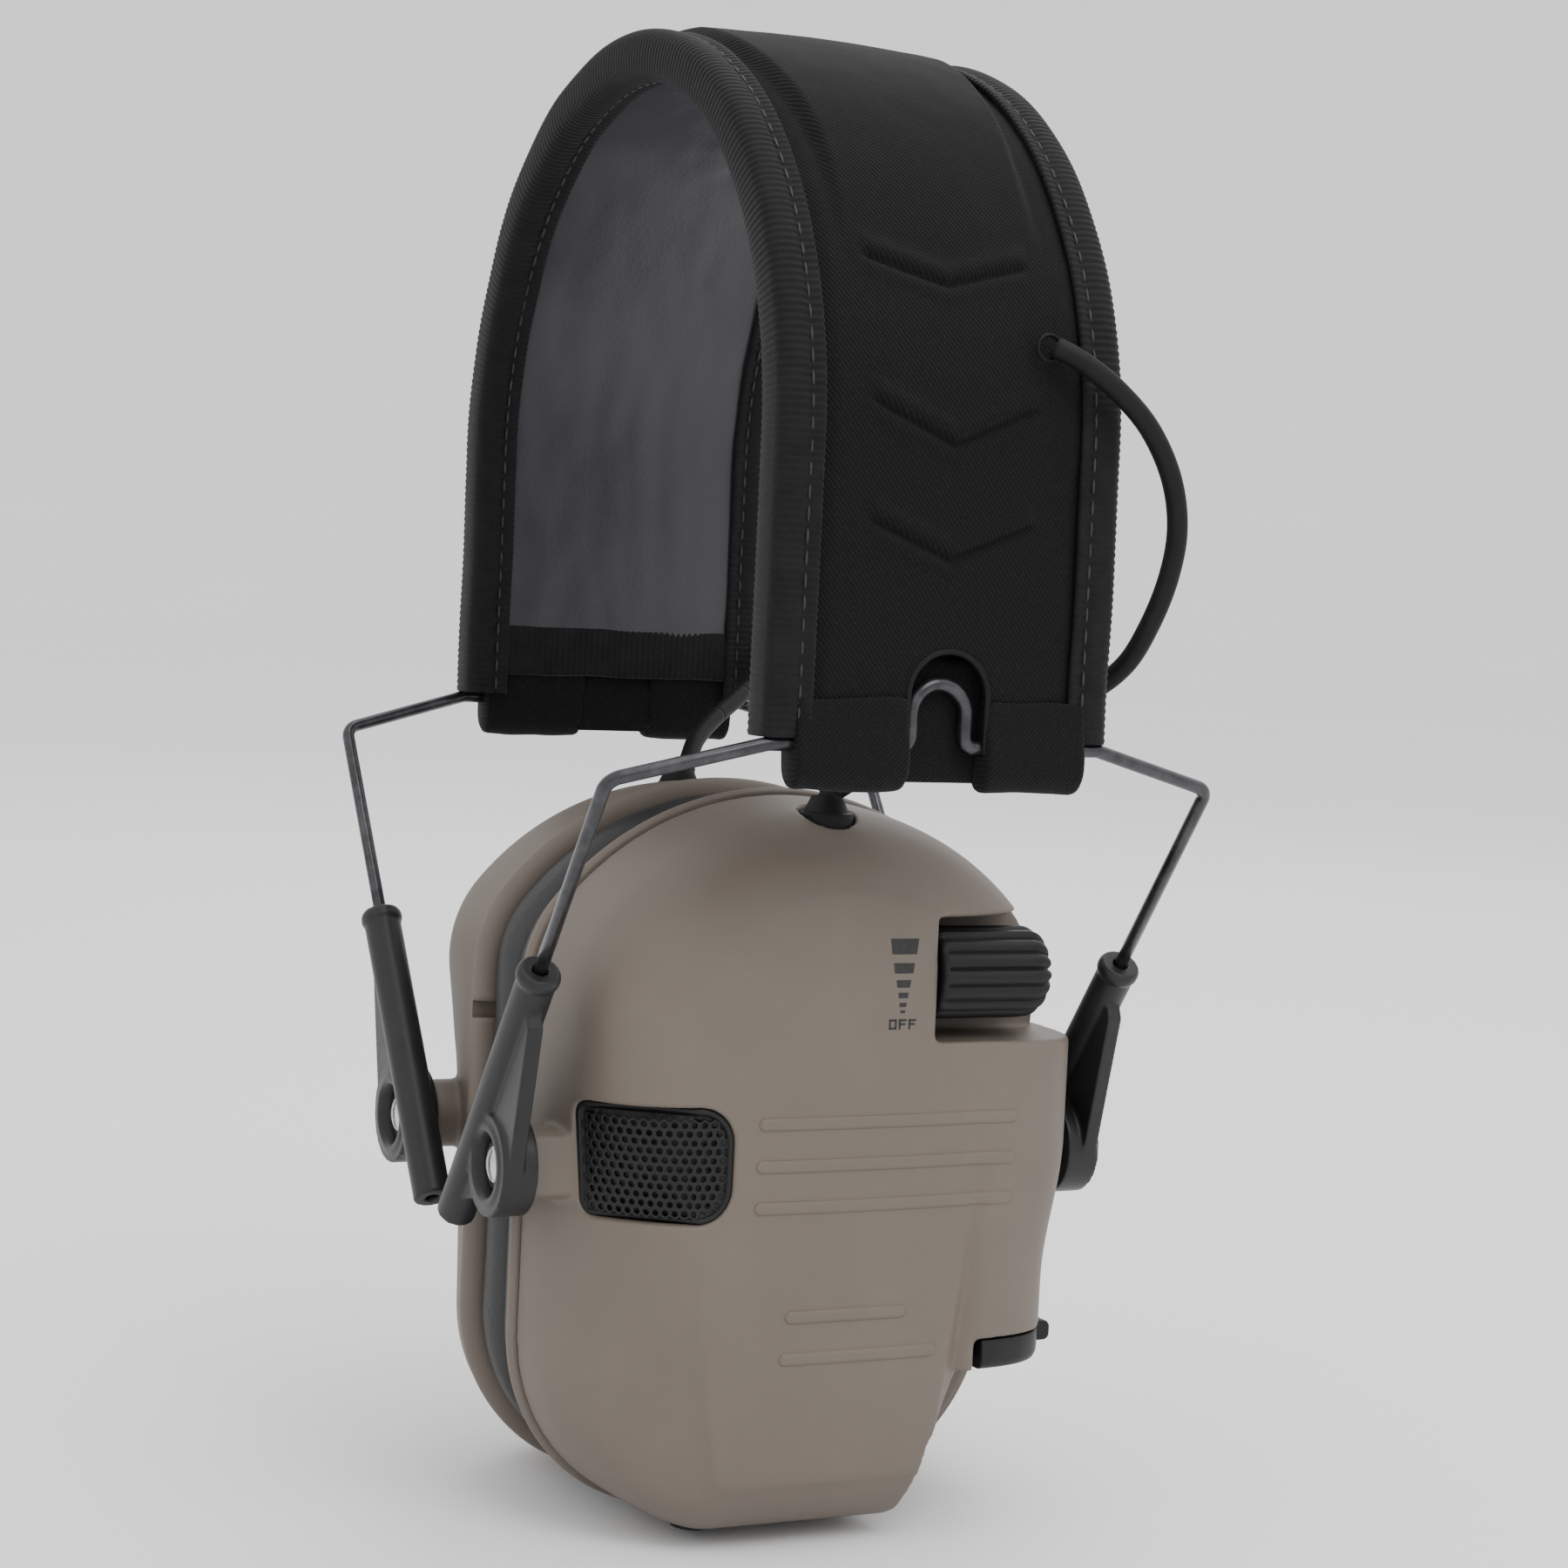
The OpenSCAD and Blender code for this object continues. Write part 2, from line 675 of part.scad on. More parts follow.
module battery_door() {
    color(dark_plastic) cup_frame() difference() {
        union() {
            intersection() {
                translate([0, 0, -31.2]) linear_extrude(door_t - 0.1) bay_section(0.2);
                box([[12.4, door_hinge_y + 1.9, -32], [50, 50, -28]]);
            }
            translate([bay_centre[0] - 3, bay_centre[1] + bay_r - 1, -30.6]) cube([8, 2, 1.2]);
            translate([hinge_x[0], door_hinge_y, door_hinge_w]) rotate([0, 90, 0])
                cylinder(r = hinge_r, h = hinge_x[1] - hinge_x[0]);
            box([[hinge_x[0], door_hinge_y, -31.2], [hinge_x[1], door_hinge_y + 2.4, -29.6]]);
        }
        translate([10, door_hinge_y, door_hinge_w]) rotate([0, 90, 0])
            cylinder(r = 0.8 + fit_gap, h = 30);
    }
}

module door_pin() {
    color(steel) cup_frame() translate([13, door_hinge_y, door_hinge_w]) rotate([0, 90, 0])
        cylinder(r = 0.8, h = 19.2);
}

module battery_cells() {
    color([0.75, 0.55, 0.3]) cup_frame() for (x = cell_x) translate([x, cell_y, cell_w0]) {
        cylinder(r = cell_r, h = cell_len - 1);
        translate([0, 0, cell_len - 1]) cylinder(r = 1.9, h = 1);
    }
}

module battery_contacts() {
    color(steel) cup_frame() {
        for (x = cell_x) translate([x - 3.5, cell_y - 3.5, cell_w0 + cell_len + 0.05]) cube([7, 7, 0.4]);
    }
}

// Socket for a 3.5 mm plug in the cup's base, with its mouth facing down
module audio_jack() {
    color(dark_plastic) cup_frame() translate([22, jack_y, -55.3]) difference() {
        cylinder(r = 3.5, h = 15);
        translate([0, 0, -1]) cylinder(r = jack_r, h = 14);
    }
}

// ---- cables -------------------------------------------------------------------------

// Points of one ring round the route at point p, with direction d
function frame_ring(p, d, r, n) =
    let (z = d / norm(d), x0 = cross(z, [0, 1, 0.3]), x = x0 / norm(x0), y = cross(z, x))
    [for (i = [0 : n - 1]) let (a = -360 * i / n) p + r * (cos(a) * x + sin(a) * y)];

module sweep(route, r) {
    n = len(route);
    loft([for (i = [0 : n - 1])
        frame_ring(route[i], route[min(i + 1, n - 1)] - route[max(i - 1, 0)], r, 8)]);
}

module cable(side) {
    color(dark_plastic) on_side(side) sweep(cable_points, cable_r);
}

// Cable inside the headband from one cover hole to the other, along the spring band
module band_cable() {
    r = spring_r0 + 0.4;
    color(dark_plastic) translate([0, 0, -arch_r]) rotate([90, 0, 0])
        rotate_extrude(angle = 180, $fn = 96) translate([r, -22.6]) circle(0.35);
}

outer_cover();
crown_pad();
foam_pad();
spring_band();
lining();
binding(-1);  // front_binding
binding(1);  // rear_binding
hem_tape("left");  // hem_tape_left
hem_tape("right");  // hem_tape_right
wire_tunnel("left");  // wire_tunnel_left
wire_tunnel("right");  // wire_tunnel_right
bail_kink("left");  // bail_kink_left
bail_kink("right");  // bail_kink_right
band_cable();
cable("left");  // cable_left
cable("right");  // cable_right
wire_bail("left");  // wire_bail_left
wire_bail("right");  // wire_bail_right
front_sleeve("left");  // front_sleeve_left
front_sleeve("right");  // front_sleeve_right
rear_sleeve("left");  // rear_sleeve_left
rear_sleeve("right");  // rear_sleeve_right
pivot_pins("left");  // pivot_pins_left
pivot_pins("right");  // pivot_pins_right
cup_shell("left");  // cup_shell_left
cup_shell("right");  // cup_shell_right
rim_ring("left");  // rim_ring_left
rim_ring("right");  // rim_ring_right
ear_cushion("left");  // ear_cushion_left
ear_cushion("right");  // ear_cushion_right
foam_liner("left");  // foam_liner_left
foam_liner("right");  // foam_liner_right
speaker_baffle("left");  // speaker_baffle_left
speaker_baffle("right");  // speaker_baffle_right
speaker("left");  // speaker_left
speaker("right");  // speaker_right
circuit_board("left");  // circuit_board_left
circuit_board("right");  // circuit_board_right
mic_bezel("left");  // mic_bezel_left
mic_bezel("right");  // mic_bezel_right
mic_mesh("left");  // mic_mesh_left
mic_mesh("right");  // mic_mesh_right
mic_capsule("left");  // mic_capsule_left
mic_capsule("right");  // mic_capsule_right
cable_grommet("left");  // cable_grommet_left
cable_grommet("right");  // cable_grommet_right
shell_screws("left");  // shell_screws_left
shell_screws("right");  // shell_screws_right
volume_knob();
potentiometer();
battery_door();
door_pin();
battery_cells();
battery_contacts();
audio_jack();
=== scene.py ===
import math

import bmesh
import bpy
import numpy as np
from mathutils import Matrix, Vector, noise
from mathutils.bvhtree import BVHTree


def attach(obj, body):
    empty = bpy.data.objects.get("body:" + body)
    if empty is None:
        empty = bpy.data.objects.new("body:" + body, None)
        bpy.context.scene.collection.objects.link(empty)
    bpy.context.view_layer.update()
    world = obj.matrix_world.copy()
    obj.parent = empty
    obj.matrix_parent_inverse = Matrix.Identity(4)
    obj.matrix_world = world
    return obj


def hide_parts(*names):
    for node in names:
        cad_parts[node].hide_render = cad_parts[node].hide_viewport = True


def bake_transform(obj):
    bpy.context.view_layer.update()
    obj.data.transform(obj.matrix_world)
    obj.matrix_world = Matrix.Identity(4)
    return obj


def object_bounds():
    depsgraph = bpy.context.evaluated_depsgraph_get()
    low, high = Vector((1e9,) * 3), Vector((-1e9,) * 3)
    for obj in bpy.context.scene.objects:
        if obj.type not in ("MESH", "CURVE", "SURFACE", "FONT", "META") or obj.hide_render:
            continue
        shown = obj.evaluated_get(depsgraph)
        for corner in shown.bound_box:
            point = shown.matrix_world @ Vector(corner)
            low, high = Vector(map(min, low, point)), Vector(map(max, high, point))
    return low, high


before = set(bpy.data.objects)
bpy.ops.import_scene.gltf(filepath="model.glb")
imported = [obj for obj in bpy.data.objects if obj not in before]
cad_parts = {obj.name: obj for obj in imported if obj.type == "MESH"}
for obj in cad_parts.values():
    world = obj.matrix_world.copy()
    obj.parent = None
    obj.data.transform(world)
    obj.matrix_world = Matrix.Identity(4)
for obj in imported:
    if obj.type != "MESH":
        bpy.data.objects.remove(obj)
cad_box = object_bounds()

# Sizes are written in millimetres and turned into metres where a mesh is made.
MM = 0.001

# Headband: inner radius of the arch, length of each straight end, reference radius
ARCH_R = 55.0
LEG = 40.0
REF_R = 60.0
HALF_ARC = REF_R * math.pi / 2
HALF_LEN = HALF_ARC + LEG
COVER_R = 60.8
COVER_INNER_R = 59.45
HALF_W = 27.0
BINDING_W = 7.0

# Wire tunnels and bails
TUNNEL_X = 59.9
TUNNEL_Z = -96.1
LEG_TILT = math.radians(36.5)
LEG_Y = 47.4

# The cup's pivot, at the end of the bail's legs, and where its shell starts
PIVOT_X = TUNNEL_X - 74.3 * math.sin(LEG_TILT) + 6.9 * math.cos(LEG_TILT)
PIVOT_Z = TUNNEL_Z - 74.3 * math.cos(LEG_TILT) - 6.9 * math.sin(LEG_TILT)
SHELL_X0 = 11.55

SIDES = {"left": 1.0, "right": -1.0}


# ---- mesh helpers ---------------------------------------------------------------------


def new_object(name, data):
    obj = bpy.data.objects.new(name, data)
    bpy.context.scene.collection.objects.link(obj)
    return obj


def turns(count):
    """Even angles once round a circle."""
    return np.linspace(0, 2 * math.pi, count, endpoint=False)


def unit(v):
    v = np.asarray(v, float)
    return v / np.linalg.norm(v)


def distances(points):
    """Distance along a row of points, from its first one."""
    return np.r_[0, np.cumsum(np.linalg.norm(np.diff(points, axis=0), axis=1))]


def curve_normals(curve):
    """Unit normals of a plane curve, to the right of its direction."""
    slope = np.gradient(curve, axis=0)
    return np.column_stack([slope[:, 1], -slope[:, 0]]) / np.linalg.norm(slope, axis=1)[:, None]


def shifted(faces, base, flip=False):
    """The same faces for points that start at base."""
    return [tuple(base + i for i in (reversed(f) if flip else f)) for f in faces]


def surface_tree(obj):
    """A mesh as a search tree in millimetres, to lay small details on."""
    return BVHTree.FromPolygons([v.co / MM for v in obj.data.vertices],
                                [p.vertices for p in obj.data.polygons])


def mesh_piece(name, verts, faces, smooth=True):
    """A mesh object from points in millimetres."""
    mesh = bpy.data.meshes.new(name)
    points = np.asarray(verts, float) * MM
    mesh.from_pydata([tuple(p) for p in points], [], [tuple(int(i) for i in f) for f in faces])
    mesh.validate()
    if smooth:
        mesh.shade_smooth()
    return new_object(name, mesh)


def outward(obj):
    """Turns every face of a closed mesh outwards."""
    bm = bmesh.new()
    bm.from_mesh(obj.data)
    bmesh.ops.recalc_face_normals(bm, faces=bm.faces)
    bm.to_mesh(obj.data)
    bm.free()
    return obj


def grid_faces(rows, cols, wrap_rows=False, wrap_cols=False):
    """Quads of a grid of points, row by row, closed round either way if asked."""
    faces = []
    for i in range(rows if wrap_rows else rows - 1):
        for j in range(cols if wrap_cols else cols - 1):
            a, b = i, (i + 1) % rows
            c, d = j, (j + 1) % cols
            faces.append((a * cols + c, a * cols + d, b * cols + d, b * cols + c))
    return faces


def loft(name, rings, smooth=True, wrap=False):
    """A closed mesh through rings of equal length, in millimetres."""
    rings = np.asarray(rings, float)
    rows, cols = rings.shape[:2]
    faces = grid_faces(rows, cols, wrap, True)
    if not wrap:
        faces += [tuple(range(cols)), tuple(range((rows - 1) * cols, rows * cols))]
    return outward(mesh_piece(name, rings.reshape(-1, 3), faces, smooth))


def smooth_curve(points, count):
    """Points at even spacing along a Catmull-Rom curve through the given points."""
    p = np.asarray(points, float)
    p = np.vstack([2 * p[0] - p[1], p, 2 * p[-1] - p[-2]])
    fine = []
    for i in range(1, len(p) - 2):
        for t in np.linspace(0, 1, 24, endpoint=False):
            a, b, c, d = p[i - 1], p[i], p[i + 1], p[i + 2]
            fine.append(0.5 * (2 * b + (c - a) * t + (2 * a - 5 * b + 4 * c - d) * t * t
                               + (3 * b - a - 3 * c + d) * t ** 3))
    fine = np.array(fine + [p[-2]])
    steps = distances(fine)
    even = np.linspace(0, steps[-1], count)
    return np.stack([np.interp(even, steps, column) for column in fine.T], 1)


def path_length(path):
    return float(np.linalg.norm(np.diff(path, axis=0), axis=1).sum())


def tube_rings(path, radius, sides=20):
    """Rings round a path; radius is a number or one per point."""
    path = np.asarray(path, float)
    radius = np.broadcast_to(np.asarray(radius, float), (len(path),))
    tangents = np.gradient(path, axis=0)
    tangents /= np.linalg.norm(tangents, axis=1)[:, None]
    normal = np.cross(tangents[0], [0.31, 0.2, 0.93])
    rings = []
    for p, t, r in zip(path, tangents, radius):
        normal = normal - t * np.dot(normal, t)
        normal /= np.linalg.norm(normal)
        side = np.cross(t, normal)
        a = turns(sides)[:, None]
        rings.append(p + r * (np.cos(a) * normal + np.sin(a) * side))
    return np.array(rings)


def modify(obj, kind, **settings):
    """Adds a modifier, sets it and applies it to the mesh."""
    m = obj.modifiers.new(kind.lower(), kind)
    for key, value in settings.items():
        setattr(m, key, value)
    bpy.context.view_layer.update()
    graph = bpy.context.evaluated_depsgraph_get()
    mesh = bpy.data.meshes.new_from_object(obj.evaluated_get(graph))
    obj.modifiers.clear()
    old = obj.data
    obj.data = mesh
    bpy.data.meshes.remove(old)
    return obj


def cut(obj, tool, operation="DIFFERENCE"):
    """Cuts obj with tool, or joins or intersects them, and removes the tool."""
    modify(obj, "BOOLEAN", operation=operation, object=tool, solver="EXACT")
    bpy.data.objects.remove(tool)
    return obj


def soften(obj, voxel, rounds=4):
    """Remeshes a solid and smooths it, so that its edges are as round as moulded ones."""
    modify(obj, "REMESH", mode="VOXEL", voxel_size=voxel * MM, use_smooth_shade=True)
    modify(obj, "SMOOTH", factor=0.5, iterations=rounds)
    obj.data.shade_smooth()
    return obj


def copy_node(name, node):
    """A new object with the mesh of a CAD node, welded into closed solids."""
    bm = bmesh.new()
    bm.from_mesh(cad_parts[node].data)
    bmesh.ops.remove_doubles(bm, verts=bm.verts, dist=0.00001)
    mesh = bpy.data.meshes.new(name)
    bm.to_mesh(mesh)
    bm.free()
    return new_object(name, mesh)


def joined(name, objs):
    """One object with the meshes of several."""
    bm = bmesh.new()
    for o in objs:
        bm.from_mesh(o.data)
        bpy.data.objects.remove(o)
    mesh = bpy.data.meshes.new(name)
    bm.to_mesh(mesh)
    bm.free()
    mesh.shade_smooth()
    return new_object(name, mesh)


def set_uv(obj, u, v):
    """Gives a grid-built mesh the plane coordinates u and v, in millimetres, of its points."""
    layer = obj.data.uv_layers.new(name="UVMap")
    index = np.zeros(len(obj.data.loops), np.int32)
    obj.data.loops.foreach_get("vertex_index", index)
    uv = np.stack([np.ravel(u)[index], np.ravel(v)[index]], 1)
    layer.data.foreach_set("uv", uv.astype(np.float32).ravel())


def give(obj, body, material, slot_name, *nodes):
    """Material, body and the CAD nodes that this piece stands for; slot_name, the finish slot, is not used.
    """
    obj.data.materials.clear()
    obj.data.materials.append(material)
    if nodes:
        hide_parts(*nodes)
    if body:
        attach(obj, body)
    return obj


# ---- materials ------------------------------------------------------------------------


class Shader:
    """A small builder for node materials: one principled shader and what feeds it."""

    def __init__(self, name, color, roughness, metallic=0.0, **sockets):
        self.material = bpy.data.materials.new(name)
        self.material.use_nodes = True
        self.tree = self.material.node_tree
        self.bsdf = self.tree.nodes["Principled BSDF"]
        self.bsdf.inputs["Base Color"].default_value = (*color, 1)
        self.bsdf.inputs["Roughness"].default_value = roughness
        self.bsdf.inputs["Metallic"].default_value = metallic
        for key, value in sockets.items():
            self.bsdf.inputs[key.replace("_", " ")].default_value = value
        self.height = None

    def node(self, kind, **values):
        n = self.tree.nodes.new(kind)
        for key, value in values.items():
            if key in n.inputs:
                n.inputs[key].default_value = value
            else:
                setattr(n, key, value)
        return n

    def wire(self, a, b):
        self.tree.links.new(a, b)

    def coords(self, kind="Object", scale=(1, 1, 1), turn=0.0):
        tex = self.node("ShaderNodeTexCoord")
        mapping = self.node("ShaderNodeMapping", Scale=scale, Rotation=(0, 0, turn))
        self.wire(tex.outputs[kind], mapping.inputs["Vector"])
        return mapping.outputs["Vector"]

    def noise(self, vector, scale, detail=3.0, roughness=0.5):
        n = self.node("ShaderNodeTexNoise", Scale=scale, Detail=detail, Roughness=roughness)
        self.wire(vector, n.inputs["Vector"])
        return n.outputs["Fac"]

    def cells(self, vector, scale):
        n = self.node("ShaderNodeTexVoronoi", Scale=scale)
        self.wire(vector, n.inputs["Vector"])
        return n.outputs["Distance"]

    def stripes(self, vector, scale, distortion=0.0, direction="X"):
        n = self.node("ShaderNodeTexWave", bands_direction=direction, Scale=scale, Distortion=distortion)
        self.wire(vector, n.inputs["Vector"])
        return n.outputs["Fac"]

    def math(self, operation, *values):
        n = self.node("ShaderNodeMath", operation=operation)
        for socket, value in zip(n.inputs, values):
            if isinstance(value, (int, float)):
                socket.default_value = value
            else:
                self.wire(value, socket)
        return n.outputs[0]

    def ramp(self, factor, stops):
        n = self.node("ShaderNodeValToRGB")
        for element, (position, color) in zip(n.color_ramp.elements, (stops[0], stops[-1])):
            element.position = position
            element.color = (*color, 1)
        for position, color in stops[1:-1]:
            n.color_ramp.elements.new(position).color = (*color, 1)
        self.wire(factor, n.inputs["Fac"])
        return n.outputs["Color"]

    def color_by(self, factor, stops):
        self.wire(self.ramp(factor, stops), self.bsdf.inputs["Base Color"])

    def rough_by(self, factor, low, high):
        n = self.node("ShaderNodeMapRange")
        n.inputs["To Min"].default_value = low
        n.inputs["To Max"].default_value = high
        self.wire(factor, n.inputs["Value"])
        self.wire(n.outputs["Result"], self.bsdf.inputs["Roughness"])

    def bump(self, height, distance, strength=1.0):
        n = self.node("ShaderNodeBump", Strength=strength, Distance=distance)
        self.wire(height, n.inputs["Height"])
        if self.height is not None:
            self.wire(self.height, n.inputs["Normal"])
        self.height = n.outputs["Normal"]
        self.wire(self.height, self.bsdf.inputs["Normal"])


def cloth_material(name, base, twill=True):
    """Black twill: fine diagonal ribs, crossing threads and light specks of painted thread shine."""
    s = Shader(name, (base, base, base * 1.06), 0.85, Specular_IOR_Level=0.15,
               Sheen_Weight=0.06, Sheen_Roughness=0.45, Sheen_Tint=(0.6, 0.62, 0.68, 1))
    ribs = s.stripes(s.coords("UV", turn=math.radians(52)), 0.55, 0.6)
    cross = s.stripes(s.coords("UV", turn=math.radians(-20)), 0.75, 1.2)
    weave = s.math("ADD", ribs, s.math("MULTIPLY", cross, 0.5))
    shine_speckle_noise = s.noise(s.coords("UV"), 1.6, 6, 0.7)
    weave_and_painted_shine = s.math("MULTIPLY", weave, shine_speckle_noise)
    # Colour follows the weave; its lightest specks are painted highlights standing for thread shine.
    s.color_by(weave_and_painted_shine, [(0.25, (base * 0.55,) * 3), (0.6, (base, base, base * 1.05)),
                       (0.95, (base * 2.6, base * 2.6, base * 2.8))])
    s.bump(weave, 0.00009, 0.8)
    s.bump(s.noise(s.coords("Object"), 90, 4), 0.0006, 0.35)
    return s.material


def binding_material():
    """Ribbed tape: the ribs are in the mesh, and fine threads run along each one."""
    s = Shader("grosgrain_tape", (0.012, 0.012, 0.013), 0.62, Specular_IOR_Level=0.15,
               Sheen_Weight=0.05, Sheen_Roughness=0.4)
    threads = s.stripes(s.coords("UV", turn=math.radians(90)), 1.3, 0.8)
    worn = s.noise(s.coords("Object"), 260, 5, 0.65)
    s.color_by(worn, [(0.3, (0.003, 0.003, 0.0033)), (0.75, (0.009, 0.009, 0.01))])
    s.rough_by(worn, 0.5, 0.75)
    s.bump(threads, 0.00005, 0.6)
    s.bump(worn, 0.0001, 0.3)
    return s.material


def thread_material():
    s = Shader("sewing_thread", (0.012, 0.012, 0.013), 0.6, Sheen_Weight=0.05)
    s.color_by(s.noise(s.coords("Object"), 900, 2), [(0.3, (0.007,) * 3), (0.7, (0.02,) * 3)])
    s.bump(s.stripes(s.coords("Object", turn=0.7), 900), 0.00004, 0.6)
    return s.material


def lining_material():
    """Smooth coated cloth, dark grey with a soft shine and a fine pebble grain."""
    s = Shader("lining_coated_cloth", (0.05, 0.05, 0.06), 0.42, Coat_Weight=0.12, Coat_Roughness=0.45)
    where = s.coords("Object")
    patch = s.noise(where, 38, 5, 0.6)
    s.color_by(patch, [(0.3, (0.018, 0.018, 0.024)), (0.55, (0.023, 0.023, 0.03)),
                       (0.8, (0.03, 0.03, 0.038))])
    s.rough_by(patch, 0.34, 0.52)
    s.bump(s.cells(where, 1500), 0.00006, 0.5)
    s.bump(s.noise(where, 120, 4), 0.0005, 0.35)
    return s.material


def shell_material():
    """Tan soft-touch plastic: fine spark texture, faint mottling, rubbed edges painted lighter and painted
    shade darkening hollows and creases.
    """
    s = Shader("tan_soft_touch", (0.122, 0.098, 0.079), 0.56, Coat_Weight=0.05, Coat_Roughness=0.5)
    where = s.coords("Object")
    mottle = s.noise(where, 55, 6, 0.6)
    # Pointiness lightens sharp outer edges as rubbed wear and darkens hollows and creases, which is painted
    # shade.
    edges = s.node("ShaderNodeNewGeometry").outputs["Pointiness"]
    tone = s.math("ADD", s.math("MULTIPLY", mottle, 0.5), s.math("MULTIPLY", edges, 0.5))
    s.color_by(tone, [(0.3, (0.112, 0.089, 0.072)), (0.5, (0.122, 0.098, 0.079)),
                      (0.62, (0.134, 0.108, 0.088))])
    s.rough_by(mottle, 0.5, 0.64)
    s.bump(s.noise(where, 2600, 3, 0.6), 0.00003, 0.5)
    s.bump(s.noise(where, 26, 2), 0.0006, 0.12)
    return s.material


def plastic_material(name, level, roughness, grain=2200):
    """Moulded plastic with a fine grain and slightly rubbed, glossier patches."""
    s = Shader(name, (level, level, level * 1.12), roughness, Specular_IOR_Level=0.3)
    where = s.coords("Object")
    rub = s.noise(where, 140, 5, 0.65)
    s.color_by(rub, [(0.3, (level * 0.8, level * 0.8, level * 0.9)),
                     (0.75, (level * 1.25, level * 1.25, level * 1.4))])
    s.rough_by(rub, roughness - 0.08, roughness + 0.1)
    s.bump(s.noise(where, grain, 3), 0.00003, 0.45)
    return s.material


def wire_material():
    """Black oxide steel wire with a low gloss and faint drawing lines."""
    s = Shader("black_steel_wire", (0.035, 0.036, 0.04), 0.3, 0.75, Coat_Weight=0.3)
    where = s.coords("Object")
    rub = s.noise(where, 400, 4, 0.6)
    s.color_by(rub, [(0.3, (0.022, 0.022, 0.026)), (0.7, (0.06, 0.06, 0.066))])
    s.rough_by(rub, 0.22, 0.42)
    s.bump(s.noise(s.coords("Object", (1, 1, 0.08)), 3000, 2), 0.00002, 0.4)
    return s.material


def steel_material(name, level, roughness):
    s = Shader(name, (level, level, level * 0.98), roughness, 1.0)
    where = s.coords("Object")
    brushed = s.noise(s.coords("Object", (1, 0.06, 1)), 2400, 3)
    stain = s.noise(where, 300, 4)
    s.color_by(stain, [(0.3, (level * 0.85,) * 3), (0.7, (level, level, level * 0.98))])
    s.rough_by(brushed, roughness - 0.06, roughness + 0.12)
    s.bump(brushed, 0.00002, 0.4)
    return s.material


def rubber_material(name, level):
    s = Shader(name, (level, level, level), 0.6, Specular_IOR_Level=0.2)
    where = s.coords("Object")
    dust = s.noise(where, 320, 5, 0.7)
    s.color_by(dust, [(0.35, (level * 0.8,) * 3), (0.8, (level * 1.6,) * 3)])
    s.rough_by(dust, 0.48, 0.7)
    s.bump(s.noise(where, 1400, 3), 0.00004, 0.5)
    return s.material


def cushion_material():
    """Soft leatherette: pebble grain and slow creases."""
    s = Shader("cushion_leatherette", (0.015, 0.015, 0.017), 0.48, Coat_Weight=0.1, Coat_Roughness=0.4)
    where = s.coords("Object")
    patch = s.noise(where, 110, 5, 0.6)
    s.color_by(patch, [(0.3, (0.007, 0.007, 0.008)), (0.75, (0.016, 0.016, 0.019))])
    s.rough_by(patch, 0.4, 0.6)
    s.bump(s.cells(where, 1100), 0.00009, 0.6)
    s.bump(s.noise(where, 170, 3), 0.0004, 0.35)
    return s.material


def foam_material():
    s = Shader("open_cell_foam", (0.02, 0.02, 0.022), 0.95)
    where = s.coords("Object")
    pores = s.cells(where, 900)
    s.color_by(pores, [(0.1, (0.004,) * 3), (0.6, (0.032, 0.032, 0.035))])
    s.bump(pores, 0.0003, 0.9)
    return s.material


def board_material():
    s = Shader("circuit_board_green", (0.01, 0.09, 0.035), 0.35, Coat_Weight=0.5)
    tracks = s.stripes(s.coords("Object"), 420, 3.0, "Y")
    s.color_by(tracks, [(0.4, (0.006, 0.07, 0.028)), (0.6, (0.02, 0.16, 0.06))])
    s.bump(tracks, 0.00004, 0.5)
    return s.material


def cell_material():
    """Printed sleeve of a dry cell: dark body with a copper-coloured band at its top."""
    s = Shader("cell_sleeve", (0.1, 0.1, 0.1), 0.25, Coat_Weight=0.6)
    along = s.node("ShaderNodeSeparateXYZ")
    s.wire(s.coords("Object"), along.inputs[0])
    level = s.math("MULTIPLY_ADD", along.outputs["Z"], 20.0, 3.7)
    s.color_by(level, [(0.45, (0.03, 0.03, 0.034)), (0.5, (0.45, 0.2, 0.07))])
    s.bump(s.noise(s.coords("Object"), 500, 2), 0.00002, 0.3)
    return s.material


def ink_material():
    s = Shader("dial_ink", (0.015, 0.015, 0.017), 0.7)
    s.color_by(s.noise(s.coords("Object"), 1500, 3), [(0.3, (0.009,) * 3), (0.7, (0.02,) * 3)])
    s.bump(s.noise(s.coords("Object"), 3000, 2), 0.00001, 0.3)
    return s.material


CLOTH = cloth_material("black_twill", 0.0055)
TAPE = binding_material()
THREAD = thread_material()
LINING = lining_material()
TAN = shell_material()
SATIN = plastic_material("sleeve_nylon", 0.014, 0.4)
MATT = plastic_material("matt_black_plastic", 0.006, 0.5)
BLACK = plastic_material("knob_rubberised", 0.0045, 0.55, 1500)
WIRE = wire_material()
STEEL = steel_material("screw_steel", 0.62, 0.3)
SPRING = steel_material("spring_steel", 0.4, 0.35)
RUBBER = rubber_material("cable_rubber", 0.005)
LEATHER = cushion_material()
FOAM = foam_material()
BOARD = board_material()
CELL = cell_material()
INK = ink_material()


# ---- camera, light and floor -----------------------------------------------------------


